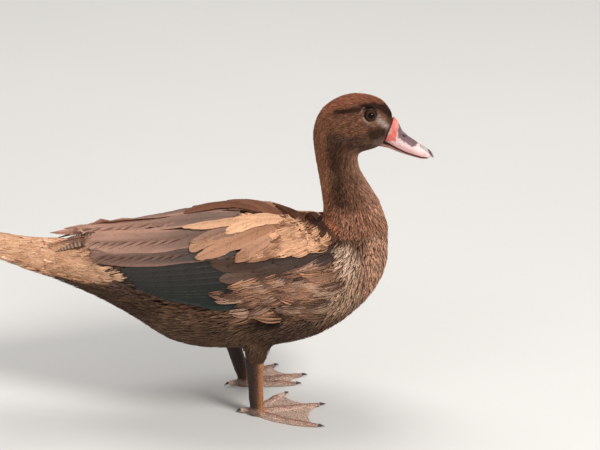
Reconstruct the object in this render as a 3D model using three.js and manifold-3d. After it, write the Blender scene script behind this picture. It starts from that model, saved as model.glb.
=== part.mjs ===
// Standing duck, life size. Millimetres, +Z up, bill toward +X, the bird's right side toward -Y.
// The body is one chain of upright sections from the tail tip to the root of the bill, parted by
// thin cuts into tail, rump, trunk, neck and head. Wings, legs, eyes and bill fit against it.
import * as THREE from 'three';
import { LoftGeometry } from 'three/addons/geometries/LoftGeometry.js';
import { mergeVertices } from 'three/addons/utils/BufferGeometryUtils.js';
import Module from 'manifold-3d';

const wasm = await Module();
wasm.setup();

// ---- sizes that drive the bird -------------------------------------------------------------

const GAP = 0.3; // clearance between neighbouring parts
const RING = 22; // points round a body section
const BODY_STEP = 0.5; // loft spacing, in stations

const CUT_TAIL = 4; // station numbers where the chain is parted
const CUT_RUMP = 7.5;
const CUT_NECK = 15;
const CUT_HEAD = 21;

const EYE_RADIUS = 6.3;
const EYE_SINK = 4.0; // eyeball centre below the face
const EYE_AT = { u: 25.92, phi: 1.02 };

const THIGH_END = 62; // height where the leg feathering stops
const SHANK_TOP = THIGH_END - GAP;
const SHANK_BOTTOM = 7.2; // top of the foot's root block
const WEB_THICKNESS = 1.7;
const WEB_REACH = 0.95; // where the web's edge leaves a toe, as part of its length
const WEB_HOLLOW = 0.72; // how far forward the edge stays between two toes
const WEB_START = 0.3; // where its sides leave the root of the foot
const WEB_BACK = 4; // how far behind the root it begins
const TOE_HEIGHT = 5.6;
const TOE_HALF_WIDTH = 3.7;
const CLAW_CLEARANCE = 0.6; // claw tips stay this far off the floor

// Body stations: back point x z, belly point x z, half width, where it is widest, squareness.
const BODY = [
  [-223.7, 164.8, -223.7, 163.0, 14, -0.3, 2.0], // tail tip
  [-208.4, 167.0, -208.4, 162.2, 24, -0.5, 2.0],
  [-177.2, 165.1, -177.2, 154.3, 27, -0.5, 2.0],
  [-149.3, 162.7, -149.3, 138.1, 26, -0.2, 2.0],
  [-123.2, 161.6, -126.0, 128.2, 27, 0.0, 2.1], // root of the tail
  [-98.1, 163.8, -100.9, 116.4, 32, 0.05, 2.1],
  [-74.9, 167.2, -76.7, 105.0, 42, 0.1, 2.15], // rump
  [-47.0, 174.3, -49.8, 88.8, 54, 0.12, 2.15],
  [-19.1, 182.2, -20.9, 69.5, 65, 0.12, 2.15],
  [13.5, 190.0, 11.6, 61.4, 71, 0.1, 2.15],
  [46.0, 193.2, 50.7, 62.1, 74, 0.08, 2.15], // deepest part of the body
  [73.9, 191.2, 86.0, 66.0, 72, 0.05, 2.15],
  [97.2, 186.2, 120.4, 75.6, 66, 0.03, 2.15],
  [113.0, 184.0, 150.2, 94.7, 58, 0.0, 2.1], // breast
  [120.4, 182.8, 172.5, 118.5, 49, 0.0, 2.1],
  [123.2, 189.8, 183.7, 145.6, 41, 0.0, 2.1], // root of the neck
  [123.7, 197.8, 183.7, 177.7, 35, 0.0, 2.05],
  [122.3, 208.8, 176.2, 200.8, 29, 0.0, 2.0],
  [120.0, 223.9, 165.1, 219.4, 24.5, 0.0, 2.0],
  [117.6, 237.9, 157.2, 232.9, 21.5, 0.0, 2.0],
  [115.3, 252.0, 154.8, 243.9, 19.5, 0.0, 2.0],
  [113.5, 267.0, 155.8, 251.0, 19.5, 0.0, 2.0], // back of the head
  [115.8, 281.1, 159.5, 253.5, 20.5, -0.05, 2.0],
  [122.3, 294.1, 164.1, 254.7, 21.0, -0.1, 2.05],
  [135.3, 303.9, 168.8, 256.2, 21.0, -0.12, 2.1],
  [150.2, 308.4, 173.4, 257.7, 20.0, -0.12, 2.1], // crown
  [164.6, 307.2, 175.8, 258.6, 17.5, -0.1, 2.1],
  [176.4, 302.8, 177.4, 259.8, 14.5, -0.08, 2.1],
  [184.0, 293.6, 178.5, 261.2, 12.0, -0.05, 2.1],
  [187.0, 286.2, 179.0, 263.2, 10.5, 0.0, 2.1], // root of the bill
];

const UPPER_BILL = [
  [187.5, 286.2, 178.6, 264.4, 10.4, -0.35, 2.1],
  [191.8, 280.0, 185.0, 261.6, 11.1, -0.5, 2.2],
  [195.8, 273.2, 192.0, 258.3, 11.4, -0.6, 2.3],
  [201.9, 266.9, 199.0, 255.4, 11.5, -0.7, 2.3],
  [209.0, 261.6, 206.6, 252.9, 11.9, -0.75, 2.3],
  [215.6, 256.4, 213.6, 250.7, 11.9, -0.75, 2.3],
  [220.4, 252.9, 219.2, 249.0, 9.4, -0.7, 2.2],
  [223.4, 250.1, 222.5, 247.7, 5.2, -0.5, 2.0],
  [224.3, 248.9, 223.8, 247.3, 2.0, -0.3, 2.0],
];

const LOWER_BILL = [
  [176.6, 262.4, 173.6, 257.9, 7.0, 0.4, 2.1],
  [184.6, 260.6, 182.8, 256.9, 9.2, 0.4, 2.2],
  [191.8, 257.2, 190.4, 253.7, 9.8, 0.4, 2.2],
  [199.0, 254.3, 198.0, 251.1, 10.2, 0.4, 2.2],
  [206.6, 251.8, 206.0, 248.9, 10.5, 0.4, 2.2],
  [213.6, 249.6, 213.2, 247.1, 10.3, 0.4, 2.2],
  [218.6, 248.1, 218.3, 246.3, 7.6, 0.4, 2.1],
  [221.0, 247.3, 220.9, 246.3, 3.0, 0.3, 2.0],
];

const BILL_NAIL = [
  [212.6, 259.9, 212.3, 257.6, 2.0, 0.3, 2.0],
  [216.6, 256.6, 215.4, 253.6, 3.9, 0.3, 2.0],
  [220.9, 253.5, 219.4, 250.4, 4.4, 0.2, 2.0],
  [224.1, 250.4, 222.3, 248.2, 4.0, 0.0, 2.0],
  [225.2, 247.8, 223.4, 246.7, 2.6, 0.0, 2.0],
  [225.1, 246.2, 224.0, 245.8, 1.2, 0.0, 2.0],
];

// ---- shared shaping functions --------------------------------------------------------------

// Smooth chain through a table of stations, read at any station number.
function makeChain(rows) {
  const curve = (pick) => new THREE.CatmullRomCurve3(rows.map(pick), false, 'catmullrom', 0.5);
  const back = curve((row) => new THREE.Vector3(row[0], 0, row[1]));
  const belly = curve((row) => new THREE.Vector3(row[2], 0, row[3]));
  const girth = curve((row) => new THREE.Vector3(row[4], row[5], row[6]));
  const last = rows.length - 1;
  return { back, belly, girth, last };
}

// Point of a chain's skin: phi 0 is the back, pi the belly, the bird's right side between them.
function skinPoint(chain, u, phi, grow = 0) {
  const t = THREE.MathUtils.clamp(u / chain.last, 0, 1);
  const back = chain.back.getPoint(t);
  const belly = chain.belly.getPoint(t);
  const girth = chain.girth.getPoint(t);
  const middle = back.clone().add(belly).multiplyScalar(0.5);
  const up = back.clone().sub(belly).multiplyScalar(0.5);
  up.setLength(up.length() + grow);
  const power = 2 / girth.z;
  const c = Math.sign(Math.cos(phi)) * Math.abs(Math.cos(phi)) ** power;
  const s = Math.sign(Math.sin(phi)) * Math.abs(Math.sin(phi)) ** power;
  const lift = c + girth.y * Math.sin(phi) ** 2;
  return middle.addScaledVector(up, lift).setY(-(girth.x + grow) * s);
}

// The same point moved off the skin along its normal.
function liftedPoint(chain, u, phi, height) {
  const step = 0.01;
  const along = skinPoint(chain, u + step, phi).sub(skinPoint(chain, u - step, phi));
  const round = skinPoint(chain, u, phi + step).sub(skinPoint(chain, u, phi - step));
  const normal = along.cross(round).normalize().negate();
  return skinPoint(chain, u, phi).addScaledVector(normal, height);
}

function chainRing(chain, u, grow = 0, slide = 0, count = RING) {
  const ring = [];
  for (let i = 0; i < count; i += 1) {
    ring.push(skinPoint(chain, u, (i / count) * Math.PI * 2, grow));
  }
  if (slide !== 0) {
    const across = ring[0].clone().sub(ring[count / 2]);
    const forward = new THREE.Vector3(0, 1, 0).cross(across).normalize();
    ring.forEach((point) => point.addScaledVector(forward, slide));
  }
  return ring;
}

function loft(sections) {
  const skinned = new LoftGeometry(sections, { closed: true, capStart: true, capEnd: true });
  return new THREE.BufferGeometry().copy(skinned);
}

// Closed loft of a chain between two stations; slides open the thin cut at each end.
function chainSolid(chain, from, to, options = {}) {
  const { step = BODY_STEP, grow = 0, slideFrom = 0, slideTo = 0, count = RING } = options;
  const spans = Math.round((to - from) / step);
  const sections = [];
  for (let i = 0; i <= spans; i += 1) {
    const slide = i === 0 ? slideFrom : i === spans ? slideTo : 0;
    sections.push(chainRing(chain, from + ((to - from) * i) / spans, grow, slide, count));
  }
  return solid(loft(sections));
}

function solid(geometry) {
  geometry.deleteAttribute('normal');
  geometry.deleteAttribute('uv');
  const welded = mergeVertices(geometry, 1e-4);
  return new wasm.Manifold(new wasm.Mesh({
    numProp: 3,
    vertProperties: new Float32Array(welded.attributes.position.array),
    triVerts: new Uint32Array(welded.index.array),
  }));
}

function readSolid(body) {
  const data = body.getMesh();
  const geometry = new THREE.BufferGeometry();
  geometry.setAttribute('position', new THREE.Float32BufferAttribute(data.vertProperties, 3));
  geometry.setIndex(Array.from(data.triVerts));
  geometry.computeVertexNormals();
  return geometry;
}

function makeMesh(name, body, color, roughness) {
  const material = new THREE.MeshStandardMaterial({ color, roughness, metalness: 0 });
  const mesh = new THREE.Mesh(readSolid(body), material);
  mesh.name = name;
  return mesh;
}

// Straight-line reading of a small table of [input, value] pairs.
function ramp(pairs, x) {
  const index = pairs.findIndex((pair) => x <= pair[0]);
  if (index === 0) return pairs[0][1];
  if (index < 0) return pairs[pairs.length - 1][1];
  const [x0, y0] = pairs[index - 1];
  const [x1, y1] = pairs[index];
  return THREE.MathUtils.mapLinear(x, x0, x1, y0, y1);
}

function mirrored(body) {
  return body.mirror([0, 1, 0]);
}

const body = makeChain(BODY);

// ---- wings ---------------------------------------------------------------------------------

const WING_REAR = 5;
const WING_FRONT = 14.5;
const WING_STEP = 0.5;
const WING_ACROSS = 6; // faces from the upper to the lower edge
const WING_TOP = [
  [5, 0.08], [5.4, 0.05], [8, 0.05], [11, 0.14], [12.8, 0.2], [13.7, 0.45], [14.5, 0.85],
];
const WING_LOW = [
  [5, 0.75], [5.5, 1.05], [6, 1.17], [6.5, 1.32], [7, 1.5], [7.5, 1.56], [9.2, 1.6],
  [10.2, 1.52], [11.2, 1.4], [12.3, 1.27], [13.4, 1.16], [14.5, 1.08],
];
const WING_RIDGE = [
  [3.8, 9], [4.8, 13.5], [5.4, 16.5], [6, 16.5], [7, 10.5], [8, 5], [9, 2.4], [10, 1.6],
  [12, 1.2], [14.5, 1],
];
const WING_FLANK = 1.6; // height of the outer face over the flank
const WING_SHOULDER = 0.6; // part of the width over which the ridge falls to the flank
const WING_RIM = 0.35; // part of the height lost along both edges
const WING_BED = [[6.4, 0], [7.5, 3.6], [12.5, 3.6], [14.5, 1.5]]; // how deep the wing beds in
const WING_ROOM = 0.4; // air under the wing where it stands clear of the rump
const WING_WALL = 0.5; // least depth of the wing below the body's own outline
const RADIUS_MEAN = 50; // of the body under the wings
const STATION_LEAST = 12; // shortest distance between two stations under the wings

function wingPhi(u, across) {
  return THREE.MathUtils.lerp(ramp(WING_TOP, u), ramp(WING_LOW, u), across);
}

// Height of the wing's outer face: the two wings meet in a roof ridge over the rump.
function wingHeight(u, across) {
  const fall = Math.min(1, Math.max(0, across) / WING_SHOULDER);
  return THREE.MathUtils.lerp(ramp(WING_RIDGE, u), WING_FLANK, fall);
}

function wingShell(grow) {
  const sections = [];
  const spans = Math.round((WING_FRONT - WING_REAR) / WING_STEP);
  const margin = grow / RADIUS_MEAN; // the clearance, as an angle round the body
  const reach = grow / STATION_LEAST; // and as part of a station, at the two ends
  for (let i = 0; i <= spans; i += 1) {
    const end = i === 0 ? -reach : i === spans ? reach : 0;
    const u = THREE.MathUtils.lerp(WING_REAR, WING_FRONT, i / spans) + end;
    const bed = u < WING_BED[0][0] ? WING_ROOM : -ramp(WING_BED, u);
    const outer = [];
    const inner = [];
    for (let k = 0; k <= WING_ACROSS; k += 1) {
      const across = k / WING_ACROSS;
      const phi = wingPhi(u, across) + margin * (2 * across - 1);
      const rim = Math.abs(2 * across - 1) ** 5;
      const under = bed > 0 ? bed : bed * (1 - rim) - WING_WALL;
      outer.push(liftedPoint(body, u, phi, wingHeight(u, across) * (1 - WING_RIM * rim) + grow));
      inner.push(liftedPoint(body, u, phi, under - grow));
    }
    sections.push([...outer, ...inner.reverse()]);
  }
  return solid(loft(sections));
}

const FEATHER_SPANS = 4;
const FEATHER_THICKNESS = 1.7;
const FEATHER_PROFILE = [[1, 0.25], [0.3, 0.9], [-0.4, 0.8], [-1, 0.25], [0, -0.4]];
const FEATHER_TIP = 0.2; // width of the blunt tip, as part of the feather's width
const FEATHER_SPREAD = 1.9; // how soon the vane reaches its full width

// One large feather laid on the wing. Stations run from the tip: [u, place across the wing, lift].
function layFeather(stations, halfWidth) {
  const laid = stations.map(([u, across, lift]) => ({
    at: liftedPoint(body, u, wingPhi(u, across), wingHeight(u, across) + lift),
    out: liftedPoint(body, u, wingPhi(u, across), 1).sub(skinPoint(body, u, wingPhi(u, across))),
  }));
  const path = new THREE.CatmullRomCurve3(laid.map((station) => station.at));
  const outs = new THREE.CatmullRomCurve3(laid.map((station) => station.out));
  const sections = [];
  for (let i = 0; i <= FEATHER_SPANS; i += 1) {
    const t = i / FEATHER_SPANS;
    const centre = path.getPoint(t);
    const forward = path.getTangent(t);
    const side = outs.getPoint(t).cross(forward).normalize();
    const outward = forward.clone().cross(side).normalize();
    const width = halfWidth * Math.min(1, FEATHER_TIP + FEATHER_SPREAD * t ** 0.7);
    sections.push(FEATHER_PROFILE.map(([a, h]) => centre.clone()
      .addScaledVector(side, a * width)
      .addScaledVector(outward, h * FEATHER_THICKNESS)));
  }
  return solid(loft(sections));
}

// Three long tertials over the rump, the primary tips beyond them, the fan of secondaries below
// and the scapulars that hang over the shoulder.
const LARGE_FEATHERS = [
  { half: 7.5, path: [[4.75, 0.16, 0.3], [5.8, 0.2, 0.6], [7.2, 0.22, 0.8], [8.8, 0.24, 0.3]] },
  { half: 9.5, path: [[5.0, 0.52, 1.6], [6.0, 0.46, 1.6], [7.2, 0.42, 1.2], [8.8, 0.4, 0.3]] },
  { half: 9.5, path: [[5.25, 0.88, 2.2], [6.1, 0.76, 1.6], [7.2, 0.62, 1.0], [8.6, 0.56, 0.3]] },
  { half: 7.0, path: [[3.85, 0.3, -0.6], [4.5, 0.3, -0.8], [5.4, 0.3, -2.0], [6.4, 0.32, -2.4]] },
  { half: 7.0, path: [[3.95, 0.95, 1.6], [4.6, 0.8, 1.2], [5.4, 0.66, 0.2], [6.4, 0.55, -1.4]] },
  { half: 8.0, path: [[6.15, 0.97, 0.4], [7.0, 0.8, 0.5], [8.4, 0.74, 0.6], [9.6, 0.7, 0]] },
  { half: 11.0, path: [[8.36, 0.2, 0.5], [9.4, 0.2, 0.4], [10.6, 0.24, 0.3], [11.8, 0.3, -0.2]] },
  { half: 11.5, path: [[8.66, 0.54, 1.4], [9.4, 0.45, 1.5], [10.6, 0.42, 1.2], [11.8, 0.46, 0.4]] },
  { half: 11.0, path: [[9.83, 0.62, 1.4], [10.6, 0.6, 1.5], [11.6, 0.6, 1.2], [12.8, 0.6, 0.3]] },
];

const UNDER_WINGS = [2, 18]; // stations of the body that the large feathers must clear

function makeWing() {
  const bodyRoom = chainSolid(body, ...UNDER_WINGS, { step: 1, grow: GAP });
  return LARGE_FEATHERS.reduce(
    (wing, { half, path }) => wing.add(layFeather(path, half).subtract(bodyRoom)),
    wingShell(0),
  );
}

// ---- legs and feet -------------------------------------------------------------------------

// Upright tube through rings of [x, y, z, radius along x, radius along y], lowest first.
function limb(rings, count = 12) {
  return solid(loft(rings.map(([x, y, z, rx, ry]) => {
    const ring = [];
    for (let i = 0; i < count; i += 1) {
      const angle = (i / count) * Math.PI * 2;
      ring.push(new THREE.Vector3(x + rx * Math.cos(angle), y + ry * Math.sin(angle), z));
    }
    return ring;
  })));
}

function makeThigh(hockX, y, bodyX) {
  const lean = (t) => hockX + (bodyX - hockX) * t;
  const out = Math.sign(y);
  return limb([
    [lean(0), y, THIGH_END, 7.4, 6.2],
    [lean(0.1), y, THIGH_END + 4, 8.6, 7.6],
    [lean(0.35), y + out, THIGH_END + 11, 12.5, 11],
    [lean(0.7), y + out * 3, THIGH_END + 22, 17, 15],
    [lean(1), y + out * 3, THIGH_END + 36, 18, 16],
  ]);
}

function makeShank(hockX, footX, y) {
  const at = (z) => THREE.MathUtils.mapLinear(z, SHANK_TOP, SHANK_BOTTOM, hockX, footX);
  return limb([
    [at(SHANK_BOTTOM), y, SHANK_BOTTOM, 6.4, 5.6],
    [at(11), y, 11, 6.0, 5.1],
    [at(20), y, 20, 5.7, 4.6],
    [at(36), y, 36, 6.0, 4.7],
    [at(54), y, 54, 7.9, 6.6],
    [at(SHANK_TOP), y, SHANK_TOP, 7.2, 6.0],
  ]);
}

// Level direction at an angle from the bill's own, and the level direction to the left of another.
function heading(angle) {
  return new THREE.Vector3(Math.cos(angle), Math.sin(angle), 0);
}

function sideways(forward) {
  return new THREE.Vector3(-forward.y, forward.x, 0);
}

// Line of a toe on the floor, bowed sideways between its root and its tip.
function toePath(foot, toe) {
  const root = new THREE.Vector3(foot.x, foot.y, 0);
  const forward = heading(toe.angle);
  const tip = root.clone().addScaledVector(forward, toe.length);
  const middle = root.clone().add(tip).multiplyScalar(0.5);
  middle.addScaledVector(sideways(forward), toe.bow * 2);
  return new THREE.QuadraticBezierCurve3(root, middle, tip);
}

const TOE_JOINTS = [1.15, 0.95, 1.05, 0.84, 0.9, 0.72, 0.52];
const TOE_PROFILE = [[-1, 0], [1, 0], [0.95, 0.55], [0.4, 1], [-0.4, 1], [-0.95, 0.55]];

// Toe with a flat sole, swelling at each joint.
function makeToe(foot, toe) {
  const path = toePath(foot, toe);
  const sections = TOE_JOINTS.map((swell, i) => {
    const t = i / (TOE_JOINTS.length - 1);
    const side = sideways(path.getTangent(t));
    return TOE_PROFILE.map(([a, h]) => path.getPoint(t)
      .addScaledVector(side, a * TOE_HALF_WIDTH * swell)
      .setZ(h * TOE_HEIGHT * swell));
  });
  return solid(loft(sections));
}

// Web of skin between three toes, its front edges drawn back between the tips.
function makeWeb(foot) {
  const paths = foot.toes.map((toe) => toePath(foot, toe));
  const flat = (point) => new THREE.Vector2(point.x, point.y);
  const shape = new THREE.Shape();
  const follow = (path, from, to) => {
    [from, (from + to) / 2, to].forEach((t) => {
      const point = path.getPoint(t);
      shape.lineTo(point.x, point.y);
    });
  };
  shape.moveTo(foot.x - WEB_BACK, foot.y);
  follow(paths[0], WEB_START, WEB_REACH);
  for (let i = 0; i < 2; i += 1) {
    const from = flat(paths[i].getPoint(WEB_HOLLOW));
    const to = flat(paths[i + 1].getPoint(WEB_HOLLOW));
    const end = flat(paths[i + 1].getPoint(WEB_REACH));
    shape.quadraticCurveTo((from.x + to.x) / 2, (from.y + to.y) / 2, end.x, end.y);
  }
  follow(paths[2], WEB_REACH * 0.8, WEB_START);
  const sheet = { depth: WEB_THICKNESS, bevelEnabled: false, curveSegments: 4 };
  return solid(new THREE.ExtrudeGeometry(shape, sheet));
}

const HIND_TOE = { root: 1.8, length: 15.3, radius: 2.6, height: 3.4 };
const HIND_SWELLS = [1.05, 1, 1.1, 0.8];
const CLAW = { length: 6, radius: 1.7, height: 2.1 };
const HIND_CLAW_LENGTH = 4.5;

// Feet: root of the toes on the floor, x of the hock and of the leg where it enters the body.
const FEET = {
  right: {
    x: 61, y: -33, hock: 59, body: 61, hind: 2.95,
    toes: [
      { name: 'outer', angle: -0.45, length: 64, bow: -5 },
      { name: 'middle', angle: 0.3, length: 62, bow: -1 },
      { name: 'inner', angle: 1.02, length: 50, bow: 2 },
    ],
  },
  left: {
    x: 48.5, y: 33, hock: 32, body: 40, hind: 3.35,
    toes: [
      { name: 'inner', angle: 0.0, length: 49, bow: -2 },
      { name: 'middle', angle: 0.34, length: 58, bow: 0 },
      { name: 'outer', angle: 0.98, length: 50, bow: 4 },
    ],
  },
};

function makeFoot(foot) {
  const root = limb([
    [foot.x, foot.y, 0, 6.6, 6.0],
    [foot.x, foot.y, 3.5, 7.2, 6.6],
    [foot.x, foot.y, SHANK_BOTTOM - GAP, 6.6, 5.8],
  ]);
  const whole = root.add(makeWeb(foot)).add(makeHindToe(foot));
  return foot.toes.reduce((joined, toe) => joined.add(makeToe(foot, toe)), whole);
}

// Small round toe pointing backward, just off the floor.
function makeHindToe(foot) {
  const forward = heading(foot.hind);
  const sections = HIND_SWELLS.map((swell, i) => {
    const t = i / (HIND_SWELLS.length - 1);
    const centre = new THREE.Vector3(foot.x, foot.y, HIND_TOE.height)
      .addScaledVector(forward, THREE.MathUtils.lerp(HIND_TOE.root, HIND_TOE.length, t));
    const radius = HIND_TOE.radius * swell;
    return roundRing(centre, sideways(forward), radius, radius, 6);
  });
  return solid(loft(sections));
}

function roundRing(centre, side, wide, high, count) {
  const ring = [];
  for (let k = 0; k < count; k += 1) {
    const angle = (k / count) * Math.PI * 2;
    const point = centre.clone().addScaledVector(side, wide * Math.cos(angle));
    ring.push(point.setZ(point.z + high * Math.sin(angle)));
  }
  return ring;
}

// Curved claw from a toe's end, running on along the toe and down toward the floor.
function makeClaw(root, forward, length, radius) {
  const spans = 3;
  const pointed = 0.14; // radius of the blunt point, as part of the root's
  const narrow = 0.75; // width as part of the height
  const drop = root.z - radius * 0.25 - CLAW_CLEARANCE;
  const sections = [];
  for (let i = 0; i <= spans; i += 1) {
    const t = i / spans;
    const size = radius * THREE.MathUtils.lerp(1, pointed, t ** 1.3);
    const centre = root.clone().addScaledVector(forward, length * t);
    centre.z -= drop * t * t;
    sections.push(roundRing(centre, sideways(forward), size * narrow, size, 6));
  }
  return solid(loft(sections));
}

// ---- eyes and bill -------------------------------------------------------------------------

function eyeCentre() {
  return liftedPoint(body, EYE_AT.u, EYE_AT.phi, -EYE_SINK);
}

function ball(centre, radius) {
  const geometry = new THREE.IcosahedronGeometry(radius, 2);
  geometry.translate(centre.x, centre.y, centre.z);
  return solid(geometry);
}

const NOSTRIL = { x: 198.6, y: -7.4, z: 268.2, long: 3.0, deep: 2.2, high: 1.4, slope: 0.62 };

function nostrilCut() {
  const geometry = new THREE.IcosahedronGeometry(1, 1);
  geometry.scale(NOSTRIL.long, NOSTRIL.deep, NOSTRIL.high);
  geometry.rotateY(NOSTRIL.slope);
  geometry.translate(NOSTRIL.x, NOSTRIL.y, NOSTRIL.z);
  return solid(geometry);
}

// ---- the bird ------------------------------------------------------------------------------

const COLORS = {
  head: 0x6b3a25, neck: 0x7a4a33, trunk: 0x5d3f2c, rump: 0x8a5c3c, tail: 0xb07a4e, wing: 0x7d5a48,
  bill: 0xd98b7a, billLow: 0xc9877a, nail: 0x4a3a3a, eye: 0x2a1408,
  leg: 0x9a5f3c, foot: 0xc39a7c, claw: 0x2b221e,
};

const duck = new THREE.Group();
duck.name = 'duck';

const half = GAP / 2;
const wingRight = makeWing();
const wingBed = wingShell(GAP);

// tail: coverts running out into the closed fan
const tail = chainSolid(body, 0, CUT_TAIL, { step: 0.6, slideTo: -half });
duck.add(makeMesh('tail', tail, COLORS.tail, 0.8));

// rump and trunk, with beds for the folded wings
function bedWings(part) {
  return part.subtract(wingBed).subtract(mirrored(wingBed));
}

const rump = bedWings(chainSolid(body, CUT_TAIL, CUT_RUMP, { slideFrom: half, slideTo: -half }));
const trunk = bedWings(chainSolid(body, CUT_RUMP, CUT_NECK, { slideFrom: half, slideTo: -half }));
duck.add(makeMesh('rump', rump, COLORS.rump, 0.85));
duck.add(makeMesh('trunk', trunk, COLORS.trunk, 0.85));

// neck
const neck = chainSolid(body, CUT_NECK, CUT_HEAD, { step: 1, slideFrom: half, slideTo: -half });
duck.add(makeMesh('neck', neck, COLORS.neck, 0.85));

// bill: upper with nostrils, lower, and the hooked nail at the tip
function billSolid(rows, options) {
  const chain = makeChain(rows);
  return chainSolid(chain, 0, chain.last, { count: 14, step: 1, ...options });
}

const upper = billSolid(UPPER_BILL, { slideFrom: GAP });
const upperRoom = billSolid(UPPER_BILL, { grow: GAP });
const lower = billSolid(LOWER_BILL);
const lowerRoom = billSolid(LOWER_BILL, { grow: GAP, slideFrom: -GAP });
const nail = billSolid(BILL_NAIL, { count: 8 });
const nailRoom = billSolid(BILL_NAIL, { count: 8, grow: GAP, slideFrom: -GAP });
const nostril = nostrilCut();
const upperCut = upper.subtract(nostril).subtract(mirrored(nostril)).subtract(nailRoom);
duck.add(makeMesh('bill_upper', upperCut, COLORS.bill, 0.5));
duck.add(makeMesh('bill_lower', lower, COLORS.billLow, 0.5));
duck.add(makeMesh('bill_nail', nail, COLORS.nail, 0.45));

// head, with eye sockets and a seat for the bill
const eye = ball(eyeCentre(), EYE_RADIUS);
const socket = ball(eyeCentre(), EYE_RADIUS + GAP);
let head = chainSolid(body, CUT_HEAD, body.last, { step: 0.65, slideFrom: half });
head = head.subtract(upperRoom).subtract(lowerRoom);
head = head.subtract(socket).subtract(mirrored(socket));
duck.add(makeMesh('head', head, COLORS.head, 0.85));
duck.add(makeMesh('eye_right', eye, COLORS.eye, 0.1));
duck.add(makeMesh('eye_left', mirrored(eye), COLORS.eye, 0.1));

// wings
duck.add(makeMesh('wing_right', wingRight, COLORS.wing, 0.7));
duck.add(makeMesh('wing_left', mirrored(wingRight), COLORS.wing, 0.7));

// legs
const OVER_LEGS = [7, 15]; // stations of the body that the thighs run up to
const trunkRoom = chainSolid(body, ...OVER_LEGS, { grow: GAP });
Object.entries(FEET).forEach(([side, foot]) => {
  const thigh = makeThigh(foot.hock, foot.y, foot.body).subtract(trunkRoom);
  duck.add(makeMesh(`thigh_${side}`, thigh, COLORS.trunk, 0.85));
  duck.add(makeMesh(`shank_${side}`, makeShank(foot.hock, foot.x, foot.y), COLORS.leg, 0.6));
  duck.add(makeMesh(`foot_${side}`, makeFoot(foot), COLORS.foot, 0.6));
  foot.toes.forEach((toe) => {
    const path = toePath(foot, toe);
    const forward = path.getTangent(1);
    const root = path.getPoint(1).addScaledVector(forward, GAP).setZ(CLAW.height);
    const claw = makeClaw(root, forward, CLAW.length, CLAW.radius);
    duck.add(makeMesh(`claw_${toe.name}_${side}`, claw, COLORS.claw, 0.4));
  });
  const backward = heading(foot.hind);
  const hindRoot = new THREE.Vector3(foot.x, foot.y, HIND_TOE.height)
    .addScaledVector(backward, HIND_TOE.length + GAP);
  const hindClaw = makeClaw(hindRoot, backward, HIND_CLAW_LENGTH, CLAW.radius);
  duck.add(makeMesh(`claw_hind_${side}`, hindClaw, COLORS.claw, 0.4));
});

export default duck;
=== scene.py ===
import math
from itertools import product

import bmesh
import bpy
import numpy as np
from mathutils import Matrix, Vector, noise
from mathutils.bvhtree import BVHTree


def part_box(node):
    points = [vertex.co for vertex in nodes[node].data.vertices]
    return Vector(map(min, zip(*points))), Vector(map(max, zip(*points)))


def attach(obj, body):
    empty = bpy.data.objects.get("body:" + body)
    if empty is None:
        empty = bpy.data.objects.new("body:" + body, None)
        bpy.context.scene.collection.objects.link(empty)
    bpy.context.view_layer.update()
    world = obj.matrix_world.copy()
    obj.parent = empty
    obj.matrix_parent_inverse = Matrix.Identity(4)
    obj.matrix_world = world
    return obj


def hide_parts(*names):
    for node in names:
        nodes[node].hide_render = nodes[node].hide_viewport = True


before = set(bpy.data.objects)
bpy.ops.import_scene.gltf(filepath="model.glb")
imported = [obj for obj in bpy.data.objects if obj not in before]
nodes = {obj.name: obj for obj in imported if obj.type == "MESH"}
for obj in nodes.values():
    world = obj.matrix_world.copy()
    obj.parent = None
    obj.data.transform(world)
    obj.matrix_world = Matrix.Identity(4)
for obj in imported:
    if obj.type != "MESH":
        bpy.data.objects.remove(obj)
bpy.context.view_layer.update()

MM = 0.001


# ---- the body under the feathers ----
# Bare skin over flesh, one sheet from the root of the bill to the tail. The parted solids are
# swelled until they touch, fused, smoothed, and drawn in by the depth of the coat, so that the
# feather tips come back out to the solids' own outline.
SWELL = 0.5 * MM
BODY_GRAIN = 2.0 * MM
WING_STUMP = -100 * MM  # long feather tips behind this aren't flesh
TAIL_STUMP = -202 * MM
DRAWN_BACK = 0.6  # part of the swelling taken off again after fusing
SHANK_HEAD = 50 * MM  # the top end of a shank lies above this
LEG_CONE = {"segments": 24, "radius1": 8.5 * MM, "radius2": 18 * MM, "depth": 28 * MM}
LEG_CONE_FORE = 2 * MM
LEG_CONE_HEIGHT = 68 * MM


def copy_of(name):
    """A working copy of a solid."""
    shape = bmesh.new()
    shape.from_mesh(nodes[name].data)
    bmesh.ops.remove_doubles(shape, verts=shape.verts, dist=1e-5)
    return shape


def cut_short(shape, x):
    """Takes off what lies behind x and closes the cut."""
    bmesh.ops.bisect_plane(
        shape, geom=shape.verts[:] + shape.edges[:] + shape.faces[:],
        plane_co=(x, 0, 0), plane_no=(1, 0, 0), clear_inner=True,
    )
    rim = [edge for edge in shape.edges if edge.is_boundary]
    bmesh.ops.holes_fill(shape, edges=rim)
    bmesh.ops.triangulate(shape, faces=shape.faces)


def placed(name, data):
    """A new object in the scene, at the origin."""
    item = bpy.data.objects.new(name, data)
    bpy.context.collection.objects.link(item)
    return item


def merged(shapes, name="merged"):
    """One mesh that holds several shapes, which are then let go."""
    whole = bmesh.new()
    for shape in shapes:
        part = bpy.data.meshes.new("part")
        shape.to_mesh(part)
        shape.free()
        whole.from_mesh(part)
        bpy.data.meshes.remove(part)
    mesh = bpy.data.meshes.new(name)
    whole.to_mesh(mesh)
    whole.free()
    return mesh


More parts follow.
